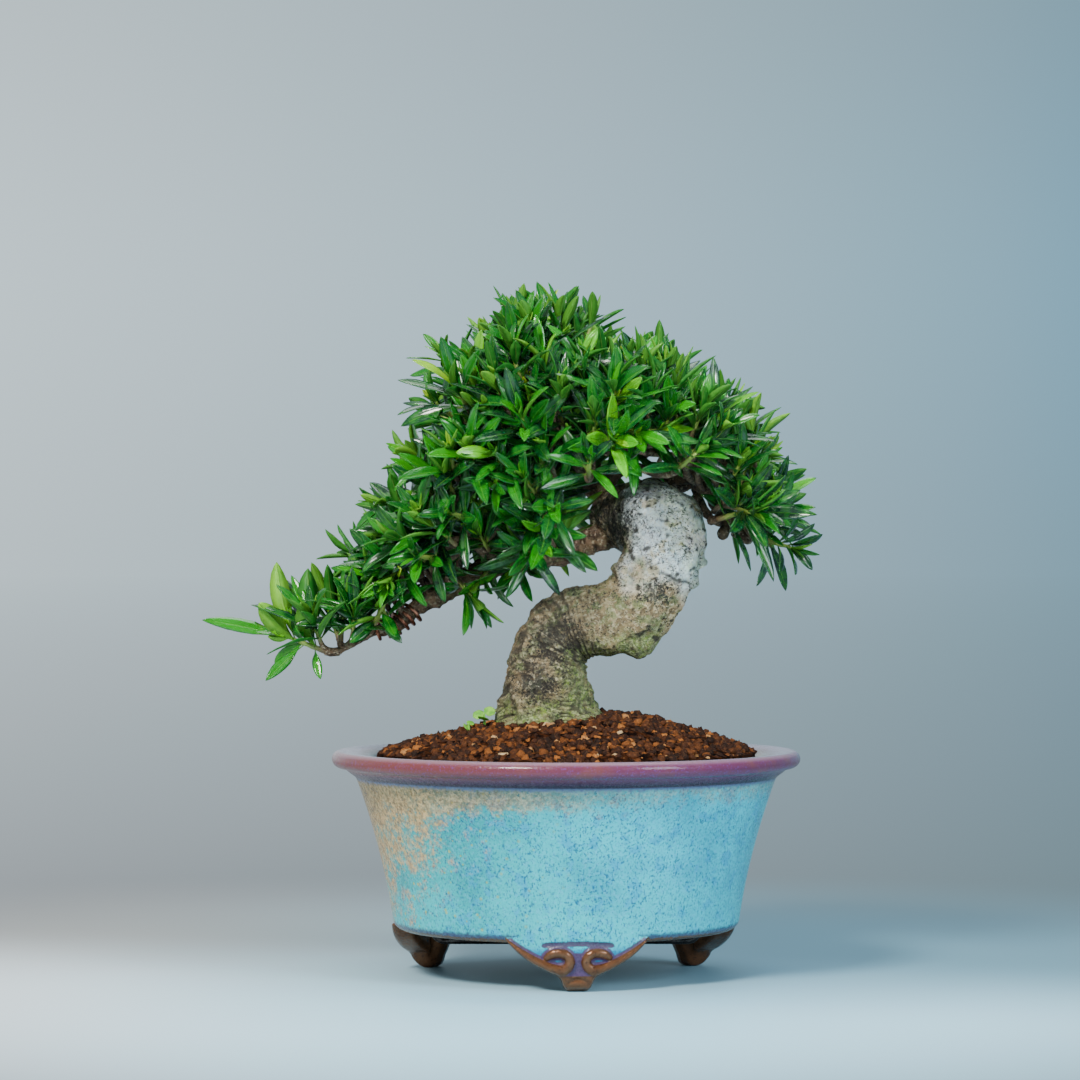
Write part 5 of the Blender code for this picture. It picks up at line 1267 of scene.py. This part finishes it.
def young_leaves(rng, base, direction, scale, stretch):
    """Two to four small upright leaves at the very tip of a shoot."""
    first, second = stem_directions(direction)
    top = base + direction * (STEM_TOP - 1.2) * stretch
    rows = []
    spin = rng.uniform(0, math.tau)
    count = rng.integers(2, 5)
    for k in range(count):
        turn = spin + math.tau * k / count
        out = math.cos(turn) * first + math.sin(turn) * second
        rows.append((*top, *direction, *out, rng.uniform(6, 24), rng.uniform(-4, 14),
                     scale * rng.uniform(5.0, 11.0), scale * rng.uniform(1.7, 2.9), rng.uniform(-20, 20), 3))
    return rows


# Tints of the first spray's own leaves, in the order in which they are named
SPRAY_TINTS = (0.52, 0.76, 0.78, 0.42, 0.46, 0.55, 0.42, 0.12, 0.50)
LEAF_MARKS = np.array((0.0, 0.07, 0.18, 0.31, 0.45, 0.59, 0.73, 0.86, 0.95))
LEAF_ACROSS = np.array((-1.0, -0.52, 0.0, 0.52, 1.0, 0.0))
LEAF_FACE = np.array((0.0, 1.0, 1.0, 1.0, 0.0, -1.0))
# Powers of the leaf's outline towards its foot and its tip, and the way to the viewer
LEAF_RISE, LEAF_FALL = 1.1, 0.85
TO_VIEWER = np.array((0.15, -0.95, 0.28))
# Numbers of the leaf finishes on a shoot
LEAF_TOP_FINISH, LEAF_UNDER_FINISH, STEM_FINISH = 0, 1, 2


def blade_points(rows, rng, faced):
    """Points of every blade of a piece at once.

    At a share t of its length a blade turns by pitch + bend * t from the stem. Its half width is
    t^rise (1 - t)^fall, scaled to 1 at its widest, with a narrow stalk. Across it, the halves fold up
    like a shallow V, and the edges ripple with a sine of t. A faced blade also twists, by half way,
    until it shows its broad side to the viewer.
    """
    rows = np.asarray(rows, dtype=float)
    count, marks = len(rows), LEAF_MARKS
    root, axis, out = rows[:, 0:3], rows[:, 3:6], rows[:, 6:9]
    pitch, bend = np.radians(rows[:, 9]), np.radians(rows[:, 10])
    length, width, roll = rows[:, 11], rows[:, 12], np.radians(rows[:, 13])
    steps = np.diff(np.append(marks, 1.0))
    angle = pitch[:, None] + bend[:, None] * (marks + 0.5 * steps)
    move = np.cos(angle)[..., None] * axis[:, None] + np.sin(angle)[..., None] * out[:, None]
    line = root[:, None] + np.cumsum(move * (length[:, None] * steps)[..., None], axis=1)
    line = np.concatenate((root[:, None], line), axis=1)
    tips, line = line[:, -1], line[:, :-1]
    angle = pitch[:, None] + bend[:, None] * marks
    way = np.cos(angle)[..., None] * axis[:, None] + np.sin(angle)[..., None] * out[:, None]
    side = np.broadcast_to(np.cross(axis, out)[:, None], way.shape)
    normal = np.cross(way, side)
    twist = roll[:, None] + rng.uniform(-0.35, 0.35, (count, 1)) * marks
    middle = len(marks) // 2
    turn = np.arctan2(-side[:, middle] @ TO_VIEWER, normal[:, middle] @ TO_VIEWER)
    turn = (turn + 0.5 * math.pi) % math.pi - 0.5 * math.pi
    facing = faced[:, None] * ease(marks, 0.0, 0.5)
    twist = twist * (1 - facing) + (0.9 * turn[:, None] + 0.3 * roll[:, None]) * facing
    width = width * (1.0 + 0.12 * faced)
    c, s = np.cos(twist)[..., None], np.sin(twist)[..., None]
    side, normal = side * c + normal * s, normal * c - side * s
    peak = LEAF_RISE / (LEAF_RISE + LEAF_FALL)
    shape = (marks / peak) ** LEAF_RISE * ((1 - marks) / (1 - peak)) ** LEAF_FALL
    half = 0.5 * width[:, None] * np.maximum(shape, 0.16 * (1 - marks))
    fold = (rng.uniform(0.10, 0.55, (count, 1)) + 0.25 * (1 - marks)) * (1.0 - 0.6 * faced[:, None])
    across = half[..., None] * LEAF_ACROSS * np.cos(fold)[..., None]
    wave = 0.05 * np.sin(math.tau * (2.2 * marks[None] + rng.uniform(0, 1, (count, 1))))
    up = half[..., None] * np.abs(LEAF_ACROSS) * (np.sin(fold) + wave)[..., None]
    rib = np.where(np.abs(LEAF_ACROSS) < 0.1, -0.06, 0.05)
    up = up + LEAF_FACE * (0.16 - 0.04 * marks[:, None])
    up = up + rib * (LEAF_FACE > 0) * ease(marks, 0.0, 0.3)[:, None]
    points = line[:, :, None] + across[..., None] * side[:, :, None] + up[..., None] * normal[:, :, None]
    points = np.concatenate((points.reshape(count, -1, 3), tips[:, None]), axis=1)
    return points


def blade_faces(count):
    """Quads, triangles, their finishes and the map of so many blades.

    A blade is a tube of flat rings from its stalk, closed by two quads, to its tip, a single point.
    Its map runs from 0 to 1 across it and along it.
    """
    stations, ring = len(LEAF_MARKS), len(LEAF_ACROSS)
    block = stations * ring + 1
    k, j = np.meshgrid(np.arange(stations - 1), np.arange(ring), indexing="ij")
    after = (j + 1) % ring
    quads = np.stack((k * ring + j, (k + 1) * ring + j, (k + 1) * ring + after, k * ring + after), axis=-1)
    cap = np.array(((0, 1, 2, 5), (2, 3, 4, 5)))
    quads = np.concatenate((quads.reshape(-1, 4), cap))
    around = np.arange(ring)
    last = (stations - 1) * ring
    threes = np.column_stack((last + around, np.full(ring, block - 1), last + (around + 1) % ring))
    below = np.where(around >= 4, LEAF_UNDER_FINISH, LEAF_TOP_FINISH)
    quad_finish = np.concatenate((np.tile(below, stations - 1), np.full(len(cap), LEAF_TOP_FINISH)))
    shift = (np.arange(count) * block)[:, None, None]
    across = np.append(np.tile(0.5 + 0.5 * LEAF_ACROSS, stations), 0.5)
    along = np.append(np.repeat(LEAF_MARKS, ring), 1.0)
    return ((quads[None] + shift).reshape(-1, 4), (threes[None] + shift).reshape(-1, 3),
            np.tile(quad_finish, count), np.tile(below, count),
            np.tile(np.column_stack((across, along)), (count, 1)))


# A shoot's stem: radius at each station of its length
STEM_RADII = (1.0, 0.95, 0.85, 0.95, 0.75, 0.85, 0.6, 0.6, 0.15)
STEM_STATIONS, STEM_SIDES = len(STEM_RADII), 7


def make_shoots(growth, finishes):
    """One leafy piece for each of the solids' shoots, with the extra shoots nearest to it.

    A stem is a tube on a line that sways by a sine of its length. A leaf's tint rises with its
    whorl, from old and dark at the foot to young and light at the tip, with a random part.
    """
    places, _, _, leaves = growth
    extra = extra_shoots(places)
    bases = np.array([spot for spot, _, _ in places])
    rng = np.random.default_rng(5)
    homes = [int(np.argmin(np.linalg.norm(bases - spot, axis=1))) for spot, _, _, _ in extra]
    first_named = len(places) - len(TIP_SHOOTS)
    for owner, (place, own_rows) in enumerate(zip(places, leaves)):
        group = [(*place[:2], 1.0, 1.0)] + [extra[k] for k, home in enumerate(homes) if home == owner]
        rows, tint, stems, faced = [], [], [], []
        for number, (base, direction, scale, stretch) in enumerate(group):
            some = list(own_rows) if number == 0 else loose_leaves(rng, base, direction, scale, stretch)
            some += young_leaves(rng, base, direction, scale, stretch)
            rows += some
            mood = rng.normal(0.0, 0.10)
            level = np.array([row[-1] for row in some])
            shade = 0.17 + 0.085 * level + 0.16 * (level == 3) + mood + rng.normal(0, 0.13, len(some))
            shade += 0.40 * (rng.uniform(0, 1, len(some)) > 0.93)
            faced.append(np.full(len(some), number == 0 and owner >= first_named, dtype=float))
            if owner == first_named and number == 0:
                shade[:len(SPRAY_TINTS)] = SPRAY_TINTS[:len(own_rows)]
            tint.append(np.clip(shade, 0, 1))
            line = base + direction * np.linspace(-0.8, STEM_TOP * stretch, STEM_STATIONS)[:, None]
            sway = np.sin(np.linspace(0, math.pi, STEM_STATIONS))[:, None]
            line = line + 0.25 * rng.normal(size=(1, 3)) * sway
            stems.append(tube_rings(line, np.array(STEM_RADII) * (0.85 if number else 1.0), STEM_SIDES))
        blades = blade_points(rows, rng, np.concatenate(faced))
        quads, threes, quad_finish, three_finish, maps = blade_faces(len(rows))
        points = blades.reshape(-1, 3)
        wood, wood_q, wood_t = gather(stems)
        grown = np.full(len(wood), 0.5)
        along = np.repeat(np.linspace(0, 1, STEM_STATIONS), STEM_SIDES)
        along = np.tile(np.append(along, (0.0, 1.0)), len(stems))
        piece = lay(f"leafy_shoot_{owner + 1:02d}", np.vstack((points, wood)),
                    [quads, wood_q + len(points), threes, wood_t + len(points)], finishes,
                    [quad_finish, np.full(len(wood_q), STEM_FINISH),
                     three_finish, np.full(len(wood_t), STEM_FINISH)],
                    np.vstack((maps, np.column_stack((grown, along)))),
                    {"tint": np.concatenate((np.repeat(np.concatenate(tint), blades.shape[1]), grown))})
        settle(piece, "leaf_green", f"shoot_{owner + 1:02d}")
    return extra


def make_twigs(growth, extra, finish):
    """Thin twigs from the limbs to the foot of every shoot: tubes on a quadratic curve."""
    places, homes, limbs, _ = growth
    marks = np.linspace(0, 1, 9)
    parts = []
    for (spot, direction, _), home in zip(places, homes):
        parts.append(twig_line(home, spot, direction, marks))
    for spot, direction, _, _ in extra:
        near_limb = spot[0] < LIMB_CORNER[0] and spot[2] < LIMB_CORNER[1]
        line = twig_line(limbs[:1] if near_limb else limbs, spot, direction, marks)
        line[:, 3] *= EXTRA_TWIG
        parts.append(line)
    points, quads, threes = gather([limb_rings(rows, 2, 7, 100 + number % 40, 0.18)
                                    for number, rows in enumerate(parts)])
    return lay("twigs", points, [quads, threes], [finish])


def leaf_face():
    """Glossy leaf: blue-green when old, emerald, yellow-green when young, with a pale midrib."""
    f = Finish("leaf_face", 0.3, Specular_IOR_Level=0.3, Coat_Weight=0.6, Coat_Roughness=0.07)
    across, along = f.surface()
    stops = ((0.0, (0.0, 0.022, 0.012)), (0.22, (0.0, 0.060, 0.010)), (0.42, (0.002, 0.15, 0.004)),
             (0.62, (0.028, 0.32, 0.003)), (0.82, (0.15, 0.52, 0.006)), (1.0, (0.45, 0.68, 0.02)))
    green = f.ramp(f.value("tint"), stops)
    cloudy = f.mix(f.fade(f.grain(4.0, 3.0), 0.42, 0.66, 0.0, 0.4), green, (0.02, 0.25, 0.005))
    vein = f.maths("SINE", f.times(f.times(across, -0.62, along), 88.0))
    vein = f.times(f.fade(vein, 0.70, 1.0), f.fade(across, 0.48, 0.30))
    cloudy = f.mix(f.times(vein, 0.28), cloudy, (0.08, 0.38, 0.02))
    rib = f.fade(across, 0.05, 0.018)
    colour = f.mix(f.times(rib, 0.35), cloudy, (0.13, 0.46, 0.03))
    stalk = f.fade(along, 0.16, 0.02)
    colour = f.mix(f.times(stalk, 0.8), colour, (0.30, 0.42, 0.06))
    f.set("Base Color", colour)
    f.set("Roughness", f.fade(f.grain(2.0), 0.35, 0.7, 0.22, 0.42))
    height = f.minus(f.fade(across, 0.0, 0.10), f.times(vein, 0.35))
    f.set("Normal", f.relief(f.plus(height, f.times(f.grain(1.2), 0.3)), 0.16))
    return f.material


def leaf_under():
    """Paler, duller underside with a raised midrib."""
    f = Finish("leaf_underside", 0.5, Specular_IOR_Level=0.25)
    across, _ = f.surface()
    colour = f.mix(f.fade(f.value("tint"), 0.1, 0.9), (0.012, 0.14, 0.012), (0.20, 0.50, 0.03))
    colour = f.mix(f.fade(f.grain(3.0), 0.4, 0.7, 0.0, 0.5), colour, (0.07, 0.28, 0.035))
    colour = f.mix(f.fade(across, 0.06, 0.02, 0.0, 0.45), colour, (0.20, 0.44, 0.07))
    f.set("Base Color", colour)
    f.set("Normal", f.relief(f.fade(across, 0.09, 0.0), 0.2))
    return f.material


def green_stem():
    """Young stem: brown at its foot, yellow-green at its tip."""
    f = Finish("green_stem", 0.5)
    _, along = f.surface()
    colour = f.mix(f.fade(along, 0.05, 0.55), (0.16, 0.10, 0.045), (0.22, 0.33, 0.05))
    colour = f.mix(f.fade(f.grain(1.0, 3.0), 0.55, 0.7, 0.0, 0.6), colour, (0.34, 0.26, 0.12))
    f.set("Base Color", colour)
    f.set("Normal", f.relief(f.grain(0.7, 3.0), 0.2))
    return f.material


# Wires
# Anchor wire: radius, and its route through the floor's two holes and below the pot
ANCHOR_WIRE = 1.15
ANCHOR_ROUTE = ((-26.0, 0.0, 66.0), (-33.0, 0.0, 66.5), (-39.5, 0.0, 63.5), (-42.6, 0.0, 57.0),
                (-43.0, 0.0, 48.0), (-43.0, 0.0, 16.0), (-42.4, 0.0, 12.4), (-40.2, 0.0, 10.8),
                (40.2, 0.0, 10.8), (42.4, 0.0, 12.4), (43.0, 0.0, 16.0), (43.0, 0.0, 48.0),
                (42.6, 0.0, 57.0), (39.5, 0.0, 63.5), (33.0, 0.0, 66.5), (14.6, 0.0, 66.0))


def make_wire(name, line, radius, sides, finish):
    """A round wire: rings of one radius along its line, narrower at both ends."""
    line = np.asarray(line)
    radii = np.full(len(line), radius)
    radii[[0, -1]] = 0.55 * radius
    points, quads, threes = tube_mesh(tube_rings(line, radii, sides))
    return lay(name, points, [quads, threes], [finish])


def anchor_line():
    """The anchor wire's route, its corners rounded by the mean of straight runs."""
    route = np.array(ANCHOR_ROUTE)
    far = path_length(route)
    marks = np.linspace(0, far[-1], 420)
    line = np.array([np.interp(marks, far, route[:, c]) for c in range(3)]).T
    window = np.ones(5) / 5
    inner = np.array([np.convolve(line[:, c], window, mode="valid") for c in range(3)]).T
    return np.vstack((line[:1], inner, line[-1:]))


def wire_metal(name, dark, light, roughness):
    """Anodised aluminium wire with faint lengthwise wear."""
    f = Finish(name, roughness, Metallic=1.0)
    f.set("Base Color", f.mix(f.fade(f.grain(2.5, 4.0, 0.7), 0.4, 0.65), dark, light))
    f.set("Roughness", f.fade(f.grain(0.8), 0.3, 0.7, roughness - 0.08, roughness + 0.12))
    f.set("Normal", f.relief(f.grain(0.6, 2.0), 0.03))
    return f.material


# Seedlings: foot, stem height, leaf radius, leaf directions in degrees
SEEDLINGS = (("seedling_large", (-26.5, -3.0), 5.2, 1.9, (20.0, 150.0, 265.0)),
             ("seedling_small", (-31.5, -5.0), 3.0, 1.3, (60.0, 235.0)))
SEEDLING_STEM, SEEDLING_ROOT = 0.5, 2.0
# The way in which the seedlings' leaves look
SEEDLING_FACE = (0.0, -0.8, 0.6)


def round_leaf(knot, way, radius):
    """A cupped disc on a grid of turn and radius: height = cup * r squared, with a scalloped edge."""
    normal = np.array(SEEDLING_FACE)
    normal = unit(normal - way * way.dot(normal))
    across = np.cross(normal, way)
    turn = np.arange(24) * math.tau / 24
    share = np.concatenate((np.linspace(0.06, 1.0, 7), np.linspace(1.0, 0.06, 7)))
    lift = np.concatenate((np.full(7, 0.20), np.full(7, -0.20))) * np.sqrt(1.05 - share ** 2)
    edge = 1.0 + 0.04 * np.cos(6 * turn) - 0.10 * np.exp(-((turn - math.pi) / 0.4) ** 2)
    reach = radius * share[:, None] * edge[None]
    centre = knot + way * (radius + 0.3 * SEEDLING_STEM)
    up = lift[:, None] + 0.10 * radius * share[:, None] ** 2
    spread = np.cos(turn)[:, None] * way + np.sin(turn)[:, None] * across
    return centre + reach[..., None] * spread + up[..., None] * normal


def make_seedling(name, foot, height, leaf_radius, turns, finish):
    """A tapered stem on a line that sways by a sine, with a round leaf at each turn of the list."""
    low = float(soil_height(*foot)) - SEEDLING_ROOT
    top = low + SEEDLING_ROOT + height
    line = np.linspace((*foot, low), (*foot, top), 12)
    line[:, 0] += 0.25 * np.sin(np.linspace(0, 3, 12))
    parts = [tube_rings(line, np.linspace(SEEDLING_STEM, 0.7 * SEEDLING_STEM, 12), 10)]
    for number, turn in enumerate(turns):
        way = unit(np.array((math.cos(math.radians(turn)), math.sin(math.radians(turn)), 0.35)))
        knot = np.array((*foot, top - 0.5 - 1.1 * number))
        parts.append(round_leaf(knot, way, leaf_radius)[::-1])
    points, quads, threes = gather(parts)
    piece = lay(name + "_fine", points, [quads, threes], [finish])
    settle(piece, "seedling_green", name)


def seedling_leaf():
    """Soft light green with paler clouds."""
    f = Finish("seedling_leaf", 0.45)
    colour = f.mix(f.fade(f.grain(2.2, 3.0), 0.4, 0.65), (0.10, 0.36, 0.025), (0.26, 0.56, 0.06))
    f.set("Base Color", colour)
    f.set("Normal", f.relief(f.grain(0.7, 3.0), 0.12))
    return f.material


def black_net():
    """Black plastic, a little dusty."""
    f = Finish("black_net", 0.5)
    f.set("Base Color", f.mix(f.grain(2.0), (0.012, 0.012, 0.012), (0.045, 0.045, 0.045)))
    f.set("Normal", f.relief(f.grain(0.8), 0.1))
    return f.material


def dress(node, finish):
    """A better material on a solid that stays."""
    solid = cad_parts[node]
    if not solid.material_slots:
        solid.data.materials.append(finish)
    for slot in solid.material_slots:
        slot.material = finish


# Studio: tones of the table's painted glow at its far edge, of the horizon, and a little above it
NEAR_LEFT, NEAR_RIGHT = (0.37, 0.41, 0.44), (0.195, 0.28, 0.325)
HORIZON_LEFT, HORIZON_RIGHT = (0.68, 0.82, 0.88), (0.225, 0.40, 0.51)
HIGH_LEFT, HIGH_RIGHT = (0.79, 0.96, 1.03), (0.225, 0.47, 0.63)
# Half the picture's width as a slope, half the table's width, and the viewer's place and lens
HALF_VIEW, TABLE_HALF = 0.14, 14.0
VIEWER, LENS, SENSOR = (-0.0084, -1.3, 0.14), 134.33, 36.0
# Lights: name, place, what each faces, size, power, colour, spread of the beam in degrees
LIGHTS = (
    ("key", (-0.55, -1.05, 1.10), (0.0, 0.0, 0.12), (0.35, 0.35), 36.0, (1.0, 0.97, 0.92), 180.0),
    ("fill", (1.0, -0.9, 0.7), (0.0, 0.0, 0.12), (0.5, 0.7), 17.0, (0.80, 0.91, 1.0), 180.0),
    ("trunk", (0.28, -1.05, 0.36), (0.031, 0.0, 0.139), (0.05, 0.05), 0.025, (0.92, 0.97, 1.0), 7.0),
    ("top", (0.1, 0.35, 1.3), (0.0, 0.0, 0.12), (0.9, 0.6), 10.0, (0.93, 0.98, 1.0), 180.0),
)


def floor_finish():
    """A pale table with painted light, lighter in front and to the left, that turns with distance into a
    painted glow in the backdrop's tones.
    """
    f = Finish("pale_table", 0.5, Specular_IOR_Level=0.3)
    x, y, _ = f.parts()
    far = f.maths("SQRT", f.plus(f.times(x, x), f.times(y, y)))
    # Painted light: the table is lighter in front and to the left, darker and bluer behind and to the right.
    front = f.mix(f.fade(x, -0.22, 0.0), (0.74, 0.77, 0.79), (0.47, 0.79, 0.95))
    back = f.mix(f.fade(x, -0.20, 0.10), (0.36, 0.355, 0.345), (0.145, 0.285, 0.36))
    shift = f.times(x, 0.35, y)
    tone = f.mix(f.fade(shift, -0.11, 0.10), front, back)
    f.set("Base Color", tone)
    # Painted glow: far from the pot the table becomes an emission in the backdrop's tones.
    slope = f.maths("DIVIDE", x, f.plus(f.maths("ABSOLUTE", y), 1.3))
    across = f.put("MapRange", {"Value": slope, "From Min": -HALF_VIEW, "From Max": HALF_VIEW})
    near = f.mix(across, NEAR_LEFT, NEAR_RIGHT)
    haze = f.mix(across, HORIZON_LEFT, HORIZON_RIGHT)
    depth = f.maths("DIVIDE", f.maths("LOGARITHM", f.times(far, 1.0 / 0.3), 10.0), 1.67)
    glow = f.mix(f.put("MapRange", {"Value": depth}), near, haze)
    light = f.put("Emission", {"Color": glow, "Strength": 1.0})
    blend = f.put("MixShader", {0: f.fade(far, 0.15, 0.42), 1: f.shader.outputs[0], 2: light})
    f.tree.links.new(blend, f.tree.nodes["Material Output"].inputs[0])
    return f.material


def make_floor():
    """A flat square of one face."""
    size = TABLE_HALF
    mesh = bpy.data.meshes.new("table")
    corners = [(-size, -size, 0), (size, -size, 0), (size, size, 0), (-size, size, 0)]
    mesh.from_pydata(corners, [], [(0, 1, 2, 3)])
    mesh.materials.append(floor_finish())
    table = bpy.data.objects.new("table", mesh)
    bpy.context.scene.collection.objects.link(table)


def make_backdrop():
    """A plain sky: light on the left, brightest a little above the horizon, dim overhead."""
    world = bpy.data.worlds.new("backdrop")
    bpy.context.scene.world = world
    world.use_nodes = True
    sky = Patterns(world.node_tree, "Generated")
    x, y, z = sky.parts()
    flat = sky.maths("MAXIMUM", sky.maths("ABSOLUTE", y), 0.02)
    slope = sky.maths("DIVIDE", x, flat)
    across = sky.put("MapRange", {"Value": slope, "From Min": -HALF_VIEW, "From Max": HALF_VIEW})
    rise = sky.minus(z, 0.065)
    bump = sky.fade(sky.maths("ABSOLUTE", rise), 0.0, 0.085, 1.0, 0.0)
    horizon = sky.mix(across, HORIZON_LEFT, HORIZON_RIGHT)
    colour = sky.mix(bump, horizon, sky.mix(across, HIGH_LEFT, HIGH_RIGHT))
    shader = world.node_tree.nodes["Background"]
    world.node_tree.links.new(colour, shader.inputs[0])
    world.node_tree.links.new(sky.fade(z, 0.2, 0.7, 1.0, 0.45), shader.inputs[1])


def add_light(name, place, aim, size, power, colour, spread):
    """A soft box that faces a point, with its beam's spread in degrees."""
    lamp = bpy.data.lights.new(name, "AREA")
    lamp.shape = "RECTANGLE"
    lamp.size, lamp.size_y = size
    lamp.energy = power
    lamp.color = colour
    lamp.spread = math.radians(spread)
    holder = bpy.data.objects.new(name, lamp)
    holder.location = place
    way = unit(np.array(place) - np.array(aim))
    holder.rotation_euler = (math.acos(way[2]), 0.0, math.atan2(way[0], -way[1]))
    bpy.context.scene.collection.objects.link(holder)


def make_camera():
    """The viewer, level and square to the pot's front."""
    data = bpy.data.cameras.new("viewer")
    data.sensor_width = SENSOR
    data.lens = LENS
    camera = bpy.data.objects.new("viewer", data)
    camera.location = (AXIS[0] + VIEWER[0], VIEWER[1], VIEWER[2])
    camera.rotation_euler = (math.radians(90.0), 0.0, 0.0)
    bpy.context.scene.collection.objects.link(camera)
    bpy.context.scene.camera = camera


def main():
    """The tree, its pot, and the studio round them."""
    make_camera()
    glazed = glaze()
    for piece in (make_pot(glazed), make_feet(glazed)):
        settle(piece, "pot_glaze", "pot")
    settle(make_granules(fired_clay()), "akadama")
    dress("soil", packed_clay())
    dress("drain_mesh", black_net())
    settle(make_trunk(bark()), "bark", "tree_wood")
    young = twig_bark()
    settle(make_branches(young), "bark", "tree_wood")
    growth = grow_solids()
    extra = make_shoots(growth, [leaf_face(), leaf_under(), green_stem()])
    settle(make_twigs(growth, extra, young), "bark", "tree_wood")
    copper = wire_metal("copper_wire", (0.20, 0.070, 0.040), (0.42, 0.19, 0.12), 0.38)
    coil = make_wire("training_coil", coil_line(36), TRAINING_WIRE, 10, copper)
    settle(coil, "copper_wire", "training_wire")
    dark = wire_metal("dark_wire", (0.030, 0.022, 0.022), (0.085, 0.065, 0.060), 0.28)
    anchor = make_wire("anchor_line", anchor_line(), ANCHOR_WIRE, 14, dark)
    settle(anchor, "dark_wire", "anchor_wire")
    green = seedling_leaf()
    for seedling in SEEDLINGS:
        make_seedling(*seedling, green)
    make_floor()
    make_backdrop()
    for light in LIGHTS:
        add_light(*light)


main()
